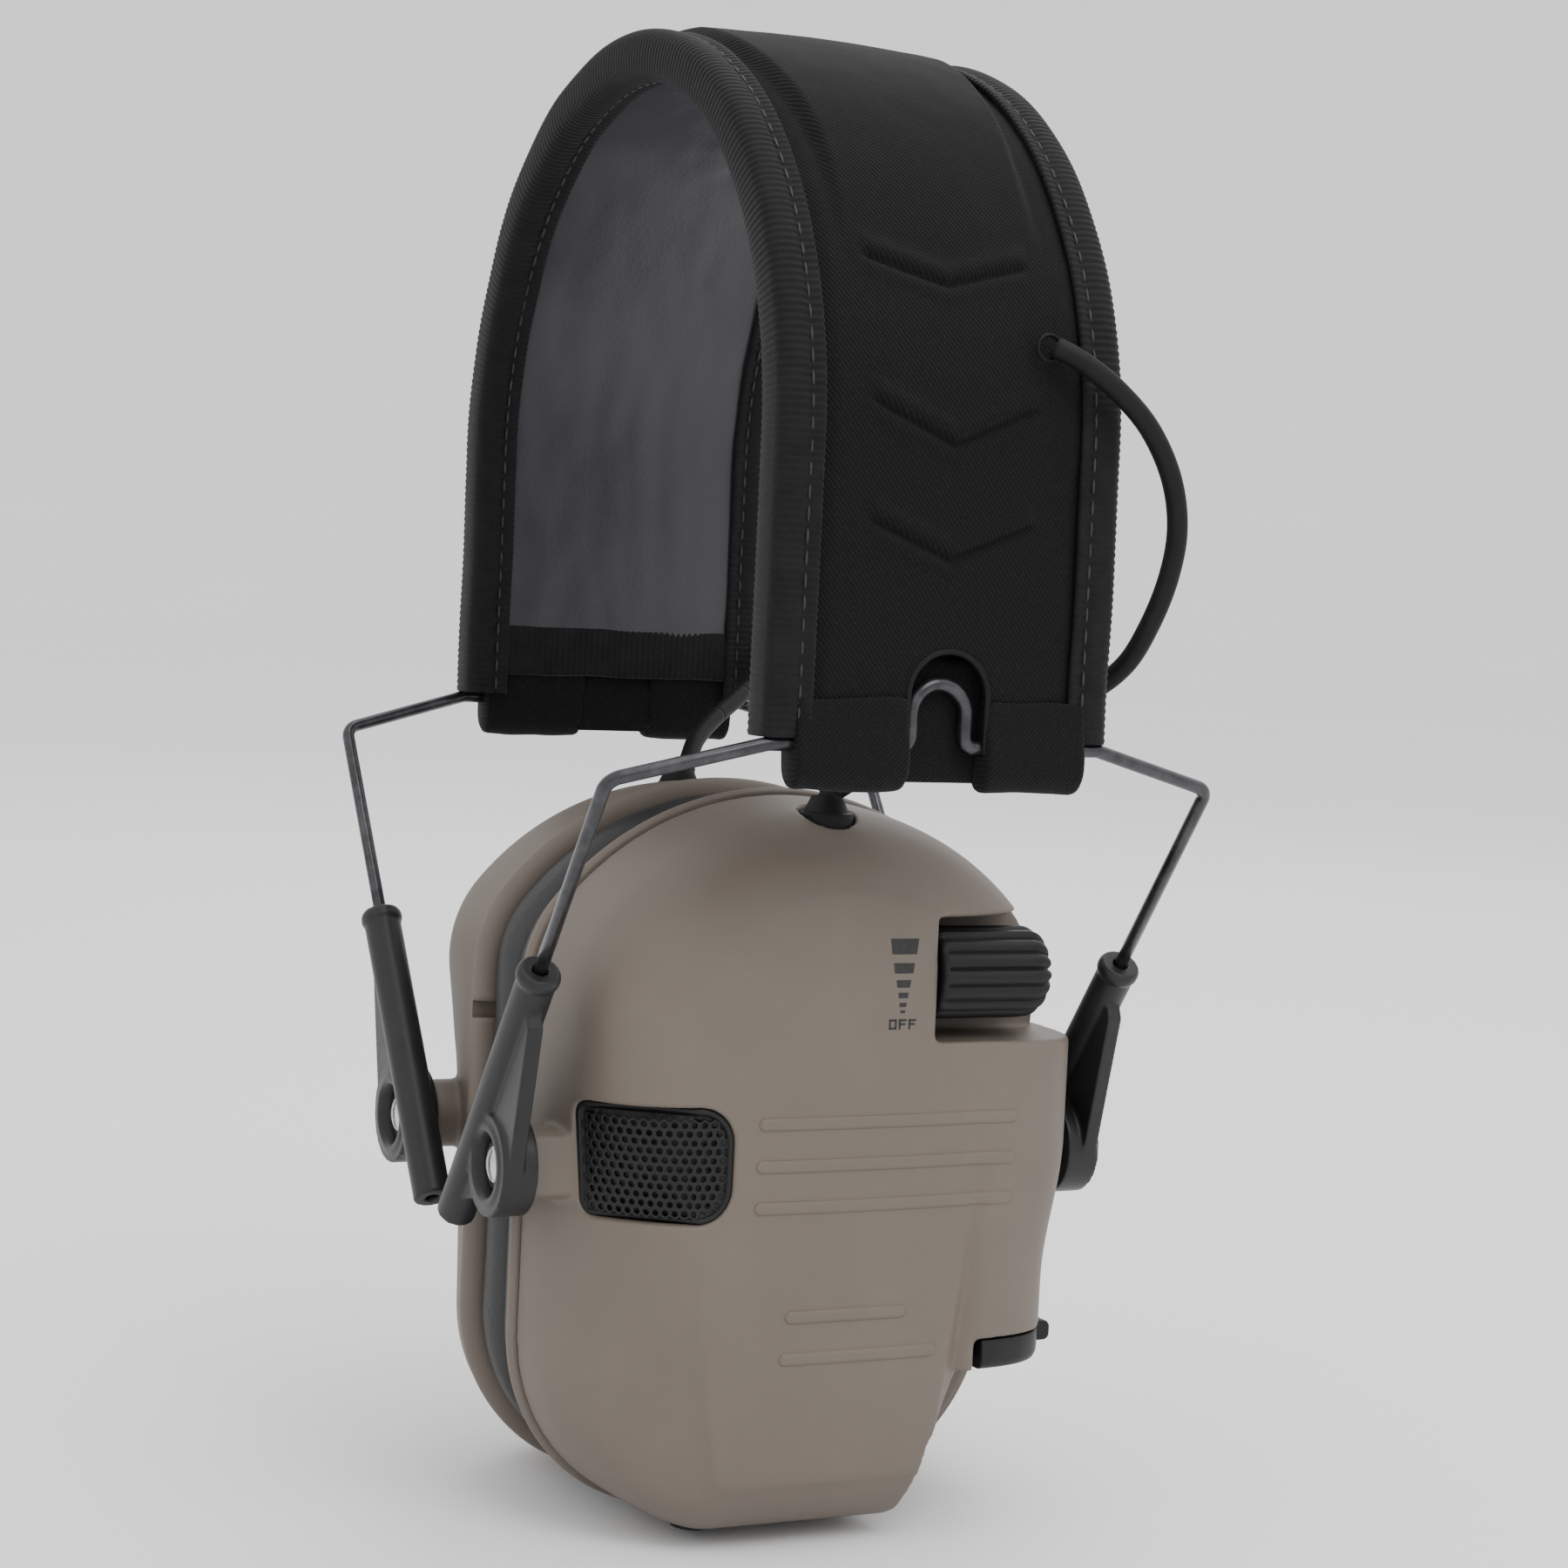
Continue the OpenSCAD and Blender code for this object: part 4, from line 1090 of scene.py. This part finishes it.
def cup_solid(name, inset=0.0, rows=110):
    """The cup's body, moved inwards by inset."""
    stations = np.array(CUP_STATIONS) * [1, 1, 1, 40]
    rings = []
    for dx, e, k, size in smooth_curve(stations, rows):
        size = max(size / 40, 0.01)
        x = SHELL_X0 + 0.05 + dx - inset if dx > 0.01 else SHELL_X0 - inset
        outline = cup_outline(max(e, 0) + inset, max(k, 0.01)) * size
        outline[:, 1] += 4 * (1 - size)
        rings.append(np.column_stack([np.full(len(outline), x), outline + [0, PIVOT_Z]]))
    return loft(name, rings)


def slab(name, x0, x1, outline):
    """A prism along x with an outline in (y, w)."""
    return loft(name, [[(x, y, PIVOT_Z + w) for y, w in outline] for x in (x0, x1)], smooth=False)


def block(name, low, high):
    (x0, y0, w0), (x1, y1, w1) = low, high
    return slab(name, x0, x1, [(y0, w0), (y1, w0), (y1, w1), (y0, w1)])


class Surface:
    """The cup's outer surface, for laying small details on it."""

    def __init__(self):
        solid = cup_solid("probe")
        self.tree = surface_tree(solid)
        bpy.data.objects.remove(solid)

    def at(self, y, w, lift):
        """Point straight in from the side at y and w, raised by lift."""
        hit, normal, _, _ = self.tree.ray_cast(Vector((80, y, PIVOT_Z + w)), Vector((-1, 0, 0)))
        return np.array(hit + normal * lift)

    def around(self, turn, w):
        """Point and normal found by a ray that leaves the cup's inside, turned from +x to -y."""
        start = Vector((14, -8, PIVOT_Z + w))
        way = Vector((math.cos(turn), -math.sin(turn), 0))
        hit, normal, _, _ = self.tree.ray_cast(start + way * 90, -way)
        return np.r_[hit, normal]


MIC_W = (-7.0, 10.0)
MIC_Y = -17.0
MIC_X = 24.6
REAR_CORNER = 5.2
FRONT_CORNER = 2.4


class Window:
    """The microphone window: maps distance forwards from its rear edge, and height, onto the shell."""

    def __init__(self, surface):
        self.levels = np.linspace(MIC_W[0] - 1, MIC_W[1] + 1, 40)
        self.curves = []
        for w in self.levels:
            rows = np.array([surface.around(t, w) for t in np.radians(np.linspace(0, 93, 140))])
            steps = distances(rows[:, :3])
            start = np.interp(-MIC_Y, -rows[:, 1], steps)
            end = np.interp(-MIC_X, -rows[:, 0], steps)
            self.curves.append((rows, steps, start, end))
        self.length = float(np.mean([end - start for _, _, start, end in self.curves]))

    def point(self, u, w, lift):
        f = np.clip((w - self.levels[0]) / (self.levels[-1] - self.levels[0]) * 39, 0, 38.999)
        i = int(f)
        ends = []
        for rows, steps, start, end in self.curves[i:i + 2]:
            s = start + (end - start) * u / self.length
            ends.append(np.array([np.interp(s, steps, rows[:, k]) for k in range(6)]))
        both = ends[0] + (ends[1] - ends[0]) * (f - i)
        return both[:3] + both[3:] * lift

    def outline(self, g):
        """Outline moved in by g: wide round corners at the rear and tight ones at the front."""
        w0, w1 = MIC_W
        points = []
        rear, front = REAR_CORNER, FRONT_CORNER
        for u, w, r, a in ((0, w0, rear, 180), (self.length, w0, front, 270),
                           (self.length, w1, front, 0), (0, w1, rear, 90)):
            cu = u + r if u == 0 else u - r
            cw = w + r if w == w0 else w - r
            points += list(arc((cu, cw), max(r - g, 0.3), math.radians(a), math.radians(a + 90), 9))
        return np.array(points)

    def plate(self, name, g, low, high):
        """A thin plate over the whole window between two lifts."""
        outline = self.outline(g)
        middle = outline.mean(axis=0)
        rings = []
        for lift, sizes in ((low, np.linspace(0.05, 1, 8)), (high, np.linspace(1, 0.05, 8))):
            for size in sizes:
                rings.append([self.point(u, w, lift) for u, w in middle + (outline - middle) * size])
        return loft(name, rings)


def window_tool():
    """Solid that cuts the window: rounded at the rear seen from the side, at the front seen end on."""
    w0, w1 = MIC_W
    r, q = REAR_CORNER, FRONT_CORNER
    side = [(-60, w0)] + list(arc((MIC_Y - r, w0 + r), r, -math.pi / 2, 0, 12))
    side += list(arc((MIC_Y - r, w1 - r), r, 0, math.pi / 2, 12)) + [(-60, w1)]
    tool = slab("window", 20, 60, side)
    end = list(arc((MIC_X + q, w1 - q), q, math.pi / 2, math.pi, 12))
    end += list(arc((MIC_X + q, w0 + q), q, math.pi, 1.5 * math.pi, 12)) + [(70, w0), (70, w1)]
    rings = [[(x, y, PIVOT_Z + w) for x, w in end] for y in (-70, -8)]
    return cut(tool, loft("end", rings, smooth=False), "INTERSECT")


BAY_LOW = [(36.75, 25.0), (36.55, 28.0), (36.0, 31.0), (35.0, 34.0), (33.2, 36.8), (30.4, 38.9),
           (27.0, 40.5), (23.0, 41.7), (19.3, 42.2)]
BAY_HIGH = [(36.9, 25.0), (36.8, 29.0), (36.5, 33.0), (35.8, 36.5), (34.0, 39.3), (31.0, 41.1),
            (27.2, 42.0), (23.0, 42.4), (19.3, 42.45)]
LIP_W = -26.3


def bay_profile(inset=0.0, y0=25.0, fullness=0.0):
    """Outline in (x, y) of the battery bay: nearly flat outside, round to the rear, flat inside."""
    outer = np.array(BAY_LOW) * (1 - fullness) + np.array(BAY_HIGH) * fullness
    curve = smooth_curve(outer, 40)
    curve = curve - curve_normals(curve) * inset
    start = [np.interp(y0, curve[:, 1], curve[:, 0]), y0]
    curve = smooth_curve(np.vstack([start, curve[curve[:, 1] > y0 + 0.4]]), 40)
    return [tuple(p) for p in curve] + [(11.6 + inset, curve[-1][1]), (11.6 + inset, y0)]


def bay_prism(name, inset, w0, w1, y0=25.0):
    """The bay's solid, moved in by inset: full at its top and drawn in below the pivot's height."""
    rings = []
    for w in np.linspace(w0, w1, 24):
        fullness = float(smoothstep(-19, 3, w))
        rings.append([(x, y, PIVOT_Z + w) for x, y in bay_profile(inset, y0, fullness)])
    return loft(name, rings, smooth=False)


def bay_fillet():
    """Soft ramp that joins the bay's front edge to the body below the pivot's height."""
    rings = []
    for w in np.linspace(-31.2, 17, 20):
        front = 21.5 - 5 * float(smoothstep(-10, 14, w))
        face = float(bay_profile(0.0, 25.0, float(smoothstep(-19, 3, w)))[0][0])
        t = np.linspace(0, 1, 12)
        xs = face + 0.04 - 1.9 * (1 - t) ** 2.2
        ys = front + (26.6 - front) * t
        rings.append([(x, y, PIVOT_Z + w) for x, y in zip(xs, ys)]
                     + [(30, 26.6, PIVOT_Z + w), (30, front, PIVOT_Z + w)])
    return loft("bay_fillet", rings, smooth=False)


def build_shell(side_name):
    """The moulded shell: lofted body, battery bay, pockets and holes, with soft edges."""
    shell = cup_solid("cup_shell_piece_" + side_name)
    left = side_name == "left"
    for way in (1, -1):
        hub = ring_solid("hub", (PIVOT_X, 0, PIVOT_Z), (0, way, 0), rounded(30, 43.4, 5.3, 0.8))
        cut(shell, hub, "UNION")
    if left:
        cut(shell, bay_fillet(), "UNION")
        cut(shell, bay_prism("bay", 0, -28.5, 18.8), "UNION")
    hollow = cup_solid("hollow", 2.0, 60)
    if left:
        cut(hollow, bay_prism("bay_block", 0.03, -28.6, 18.9, 24.9))
        cut(hollow, block("pocket_walls", (22.4, 13.2, 17.3), (60, 60, 38.9)))
        cut(hollow, slab("recess_walls", 10.2, 60, [(21.2, -29.6), (50, -29.6), (50, -70), (11.2, -70),
                                                    (13.2, -50), (15.4, -42)]))
    cut(shell, hollow)
    if left:
        cut(shell, block("pocket", (24, 14.8, 18.9), (60, 70, 37.3)))
        cut(shell, slab("recess", 12, 60, [(23, -31.4), (50, -31.4), (50, -70), (13, -70), (15, -50),
                                           (17.2, -42)]))
        cut(shell, bay_prism("bay_void", 1.1, -40, 17.7, 26.1))
        cut(shell, block("door_seat", (12.6, 25.4, -40), (60, 60, -28.6)))
        cut(shell, block("lip_seat", (14, 24.6, -40), (60, 60, LIP_W)))
        cut(shell, ring_solid("jack", (22, -14, PIVOT_Z - 60), (0, 0, 1), bore(0, 20, 3.6)))
    cut(shell, ring_solid("cable_hole", (27, 0, PIVOT_Z + 50), (0, 0, 1), bore(-8, 8, 4.2)))
    for way in (1, -1):
        cut(shell, ring_solid("pin_hole", (PIVOT_X, 0, PIVOT_Z), (0, way, 0), bore(30, 46, 2.6)))
    cut(shell, window_tool())
    soften(shell, 0.42, 9)
    bars = [(-13.5, 29.7, 7.5), (-13.7, 29.5, 1.3), (-13.7, 29.4, -4.8), (-8, 12, -21), (-8.6, 17.6, -27.2)]
    probe = surface_tree(shell)
    pieces = [shell] + [raised_bar(probe, *bar) for bar in bars]
    return joined("cup_shell_piece_" + side_name, pieces)


def raised_bar(probe, y0, y1, w):
    """A low rounded bar with round ends, laid on the shell's surface."""
    half, height = 1.05, 0.42
    along, across = int((y1 - y0) / 0.25), 13
    rings = []
    for y in np.linspace(y0 - 0.05, y1 + 0.05, along):
        end = min(y - y0, y1 - y)
        width = half * math.sqrt(max(1 - max(1 - end / half, 0) ** 2, 0.02))
        ring = []
        for t in np.linspace(-1, 1, across):
            hit = probe.ray_cast(Vector((80, y, PIVOT_Z + w + t * width)), Vector((-1, 0, 0)))[0]
            rise = height * (1 - t ** 4) * min(1, width / half * 1.2) - 0.06
            ring.append(np.array(hit) + np.array([rise, 0, 0]))
        under = [ring[-1] - [0.5, 0, 0], ring[0] - [0.5, 0, 0]]
        rings.append(ring + under)
    return loft("bar", rings)


def build_cup(name, side, surface):
    window = Window(surface)
    pieces = ((build_shell(name), TAN, "tan_shell", ("cup_shell_" + name,)),
              (build_bezel(name, window), MATT, "dark_plastic", ("mic_bezel_" + name,)),
              (build_mic_mesh(name, window), MATT, "mesh", ("mic_mesh_" + name,)),
              (window.plate("mic_felt_" + name, 0.5, -1.75, -1.45), FOAM, "mesh", ()),
              (build_rim(name), TAN, "tan_shell", ("rim_ring_" + name,)),
              (build_cushion(name), LEATHER, "cushion", ("ear_cushion_" + name,)))
    for obj, material, slot_name, nodes in pieces:
        if side < 0:
            obj.data.transform(Matrix.Scale(-1, 4, Vector((1, 0, 0))))
            obj.data.flip_normals()
        give(obj, "cup_" + name, material, slot_name, *nodes)


def build_bezel(name, window):
    """Smooth dark frame round the microphone window, set in from the shell's surface."""
    section = [(0.1, -0.75), (0.14, -0.5), (0.4, -0.4), (0.75, -0.45), (0.92, -0.65), (0.95, -0.95),
               (1.5, -1.05), (2.1, -1.1), (2.1, -1.5), (0.1, -1.5)]
    outlines = [window.outline(g) for g, _ in section]
    rings = [[window.point(*outline[i], lift) for outline, (_, lift) in zip(outlines, section)]
             for i in range(len(outlines[0]))]
    return loft("mic_bezel_piece_" + name, rings, wrap=True)


def build_mic_mesh(name, window):
    """Perforated grille: round holes in staggered rows, with the shell's curve."""
    pitch, row_step, hole, rim, top, bottom = 1.5, 1.3, 0.45, 0.95, -0.75, -1.25
    w0, w1 = MIC_W
    verts, faces = [], []
    for i in range(int((w1 - w0 - 2 * rim) / row_step) + 1):
        w = w0 + rim + 0.5 + i * row_step
        u = rim + 0.55 + (pitch / 2 if i % 2 else 0)
        while u < window.length - rim - 0.45:
            r = REAR_CORNER
            corner = math.hypot(max(r - u, 0), max(abs(w - (w0 + w1) / 2) - (w1 - w0) / 2 + r, 0))
            if w < w1 - rim - 0.3 and corner < r - rim - 0.2:
                base = len(verts)
                for k in range(12):
                    a = math.radians(30 * k + 30)
                    edge = 0.5 / math.cos(((math.degrees(a) + 30) % 60 - 30) * math.pi / 180)
                    rim_u, rim_w = edge * pitch * math.cos(a), edge * row_step * 1.1547 * math.sin(a)
                    ring = [(rim_u, rim_w, top)]
                    ring += [(r * math.cos(a), r * math.sin(a), lift)
                             for r, lift in ((hole + 0.08, top), (hole, top - 0.09), (hole, bottom))]
                    ring.append((rim_u, rim_w, bottom))
                    verts += [window.point(u + du, w + dw, lift) for du, dw, lift in ring]
                faces += shifted(grid_faces(12, 5, True), base)
            u += pitch
    mesh = mesh_piece("mic_mesh_piece_" + name, verts, faces)
    modify(mesh, "WELD", merge_threshold=0.00002)
    return mesh


def ring_loft(name, section, fine):
    """A ring round the cup's outline; section is a closed loop of (inset, x) pairs."""
    outlines = [cup_outline(e, 0.0, fine) for e, _ in section]
    columns = [np.column_stack([np.full(len(o), x), o[:, 0], o[:, 1] + PIVOT_Z])
               for o, (_, x) in zip(outlines, section)]
    rings = np.stack(columns, 1)
    return loft(name, rings, wrap=True)


def build_rim(name):
    """Rim ring: a raised rounded lip, a groove against the shell and a flat flange inside."""
    lip = [(0.3, 11.4), (-0.3, 11.1), (-0.85, 10.5), (-0.9, 9.9), (-0.5, 9.2), (0.4, 8.6), (1.6, 8.3),
           (2.8, 8.32), (3.4, 8.7), (3.7, 9.2), (4.4, 9.4), (12, 9.4), (13.9, 9.5), (13.9, 11.2), (12, 11.4)]
    rim = ring_loft("rim_ring_piece_" + name, smooth_loop(lip, 60), 3)
    cut(rim, block("notch", (7.8, -42, 16.8), (9.9, -36.5, 19.4)))
    return rim


def smooth_loop(points, count):
    """Even points round a closed smooth loop through the given 2-D points."""
    p = [(a, b, 0) for a, b in points]
    open_curve = smooth_curve(p[-2:] + p + p[:2], 6 * count)[:, :2]
    start = np.argmin(np.linalg.norm(open_curve[:3 * count] - np.array(points[0]), axis=1))
    end = 3 * count + np.argmin(np.linalg.norm(open_curve[3 * count:] - np.array(points[0]), axis=1))
    loop = open_curve[start:end]
    steps = distances(loop)
    even = np.linspace(0, steps[-1], count, endpoint=False)
    return np.stack([np.interp(even, steps, loop[:, k]) for k in range(2)], 1)


def build_cushion(name):
    """Padded ring: D-shaped section, seam round its side and slack folds on the inner face."""
    section = [(3.6, 8.1), (2.4, 7.6), (1.5, 6.4), (1.25, 4.6), (1.6, 2.8), (2.7, 1.3), (4.6, 0.45),
               (7.4, 0.2), (10.2, 0.45), (12.3, 1.5), (13.6, 3.2), (14.2, 5.2), (13.9, 7.2), (12.6, 8.1)]
    loop = smooth_loop(section, 84)
    cushion = ring_loft("ear_cushion_piece_" + name, loop, 5)
    count = len(loop)
    rows = len(cushion.data.vertices) // count
    co = np.array([tuple(v.co) for v in cushion.data.vertices]).reshape(rows, count, 3) / MM
    middle = co.mean(axis=1, keepdims=True)
    turn = turns(rows)
    for j, (e, x) in enumerate(loop):
        inner = smoothstep(9.5, 13.5, e)
        folds = 0.22 * inner * (np.sin(turn * 46 + 1.7 * np.sin(turn * 5)) + 0.6 * np.sin(turn * 71 + 2))
        seam = -0.35 * math.exp(-((x - 6.6) / 0.35) ** 2) * (e < 5)
        slack = np.array([0.25 * noise.noise(Vector((math.cos(t) * 4, math.sin(t) * 4, j / 9)))
                          for t in turn])
        away = co[:, j] - middle[:, 0]
        away /= np.linalg.norm(away, axis=1)[:, None]
        co[:, j] += away * (np.minimum(folds + slack, 0.12) + seam)[:, None]
    co[:, :, 0] = np.clip(co[:, :, 0], 0.16, 8.2)
    cushion.data.vertices.foreach_set("co", (co * MM).astype(np.float32).ravel())
    cushion.data.update()
    return cushion


# ---- controls on the left cup -----------------------------------------------------------


def build_marks(surface):
    """Volume scale beside the knob: six shrinking blocks and the word OFF under them."""
    quads, middle_y = [], 8.95
    for i, (w, half, tall) in enumerate(((33.2, 2.35, 2.3), (30.0, 1.75, 1.5), (27.7, 1.2, 1.1),
                                         (26.0, 0.85, 0.8), (24.6, 0.6, 0.6), (23.6, 0.4, 0.4))):
        quads.append([(middle_y + a * half, w + b * tall) for a, b in
                      ((-0.86, -0.5), (0.86, -0.5), (1, 0.5), (-1, 0.5))])

    def stroke(y0, w0, y1, w1):
        quads.append([(y0, w0), (y1, w0), (y1, w1), (y0, w1)])

    t, tall, wide, base = 0.3, 1.5, 1.25, 21.0
    for i, letter in enumerate("OFF"):
        y = 6.75 + i * 1.62
        stroke(y, base, y + t, base + tall)
        stroke(y, base + tall - t, y + wide, base + tall)
        if letter == "O":
            stroke(y, base, y + wide, base + t)
            stroke(y + wide - t, base, y + wide, base + tall)
        else:
            stroke(y, base + tall * 0.42, y + wide * 0.85, base + tall * 0.42 + t)
    verts, faces = [], []
    for quad in quads:
        (ay, aw), (by, bw), (cy, cw), (dy, dw) = quad
        n = 6
        start = len(verts)
        for lift in (0.05, -0.2):
            for i in range(n):
                for j in range(n):
                    u, v = j / (n - 1), i / (n - 1)
                    y = (ay * (1 - u) + by * u) * (1 - v) + (dy * (1 - u) + cy * u) * v
                    w = (aw * (1 - u) + bw * u) * (1 - v) + (dw * (1 - u) + cw * u) * v
                    verts.append(surface.at(y, w, lift))
        faces += shifted(grid_faces(n, n), start)
        faces += shifted(grid_faces(n, n), start + n * n, True)
        rim = (list(range(n)) + [i * n + n - 1 for i in range(1, n)]
               + [(n - 1) * n + j for j in range(n - 2, -1, -1)] + [i * n for i in range(n - 2, 0, -1)])
        for a, b in zip(rim, rim[1:] + rim[:1]):
            faces += shifted([(a, n * n + a, n * n + b, b)], start)
    marks = outward(mesh_piece("volume_marks", verts, faces, smooth=False))
    give(marks, "cup_left", INK, "dark_plastic")


KNOB_X, KNOB_W, KNOB_Y0, KNOB_R, KNOB_RIBS = 31.4, 28.6, 15.4, 7.1, 16
KNOB_PROFILE = [(0, 0.1), (0, 5.8), (0.3, 6.7), (1.0, 7.1), (4, 7.1), (8, 7.1), (12, 7.1), (15.6, 7.1),
                (16.8, 6.95), (17.9, 6.45), (18.8, 5.6), (19.5, 4.5), (19.95, 3.2), (20.2, 1.8), (20.3, 0.1)]


def build_knob():
    """Ribbed roller: round ribs that run on over its domed rear end, and one thin pointer rib."""
    columns = KNOB_RIBS * 18
    a = turns(columns)
    groove = 1 - np.abs(np.cos(a * KNOB_RIBS / 2)) ** 0.55
    pointer = np.exp(-((np.abs(a - math.radians(65))) / 0.035) ** 2)
    profile = smooth_curve(KNOB_PROFILE, 60)
    rows = []
    for (h, r), (nh, nr) in zip(profile, -curve_normals(profile)):
        depth = 0.95 * smoothstep(0.2, 0.9, h) * smoothstep(1.2, 4.2, r)
        move = -depth * groove - 0.12 * depth + pointer * 0.12 * depth
        radius = np.maximum(r + nr * move, 0.02)
        rows.append(np.column_stack([KNOB_X + radius * np.cos(a), KNOB_Y0 + h + nh * move,
                                     PIVOT_Z + KNOB_W + radius * np.sin(a)]))
    knob = loft("volume_knob_piece", rows)
    give(knob, "knob", BLACK, "knob_plastic", "volume_knob")


HINGE = (16, 24.4, PIVOT_Z - 30.4)


def build_door():
    """Door with the bay's outline, a raised rim, a rounded lower edge, a hinge and a finger tab."""
    rings = []
    for w, inset in ((LIP_W - 0.2, 0.25), (-27.5, 0.15), (-28.8, 0.1), (-29.9, 0.15), (-30.6, 0.45),
                     (-31.0, 0.95), (-31.2, 1.8)):
        rings.append([(max(x, 12.7 + inset), y, PIVOT_Z + w) for x, y in bay_profile(inset, 25.7)])
    door = loft("battery_door_piece", rings, smooth=False)
    well = [[(x, y, PIVOT_Z + w) for x, y in bay_profile(1.05, 26.0)] for w in (-28.7, -20)]
    cut(door, loft("well", well, smooth=False))
    cut(door, block("inner_edge", (10, 20, -28.6), (15.3, 60, -20)))
    cut(door, ring_solid("barrel", HINGE, (1, 0, 0), rounded(0, 15, 1.7, 0.4)), "UNION")
    cut(door, block("web", (16, 24.4, -31.2), (31, 26.9, -29.6)), "UNION")
    tab = slab("tab", 20.5, 27.3, rounded_box(38.6, 42.9, -29.6, -26.5, 1.0))
    cut(door, tab, "UNION")
    cut(door, ring_solid("pin_hole", HINGE, (1, 0, 0), bore(-1, 17, 0.85)))
    soften(door, 0.2, 4)
    give(door, "door", MATT, "dark_plastic", "battery_door")


def rounded_box(y0, y1, w0, w1, r):
    points = []
    for cy, cw, a in ((y1 - r, w0 + r, -90), (y1 - r, w1 - r, 0), (y0 + r, w1 - r, 90),
                      (y0 + r, w0 + r, 180)):
        points += list(arc((cy, cw), r, math.radians(a), math.radians(a + 90), 6))
    return points


def build_grommets():
    for name in SIDES:
        grommet = copy_node("cable_grommet_piece_" + name, "cable_grommet_" + name)
        soften(grommet, 0.18, 8)
        give(grommet, "cup_" + name, RUBBER, "cable_rubber", "cable_grommet_" + name)


def dress(material, *nodes):
    """Gives CAD nodes that stay as they are their procedural material."""
    for node in nodes:
        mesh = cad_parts[node].data
        mesh.materials.clear()
        mesh.materials.append(material)


def dress_inner_parts():
    for name in SIDES:
        dress(FOAM, "foam_liner_" + name)
        dress(MATT, "speaker_baffle_" + name)
        dress(SATIN, "speaker_" + name)
        dress(BOARD, "circuit_board_" + name)
        dress(STEEL, "shell_screws_" + name)
        dress(MATT, "mic_capsule_" + name)
    dress(FOAM, "foam_pad")
    dress(SPRING, "spring_band")
    dress(RUBBER, "band_cable")
    dress(STEEL, "potentiometer", "door_pin", "battery_contacts")
    dress(CELL, "battery_cells")
    dress(MATT, "audio_jack")


build_wires()
for side_name, side_sign in SIDES.items():
    for sign, place in ((-1, "front"), (1, "rear")):
        build_sleeve(place + "_sleeve_piece_" + side_name, side_sign, sign, place + "_slide_" + side_name,
                     place + "_sleeve_" + side_name)
build_pivot_pins()
build_grommets()
outer_surface = Surface()
for side_name, side_sign in SIDES.items():
    build_cup(side_name, side_sign, outer_surface)
build_marks(outer_surface)
build_knob()
build_door()
dress_inner_parts()
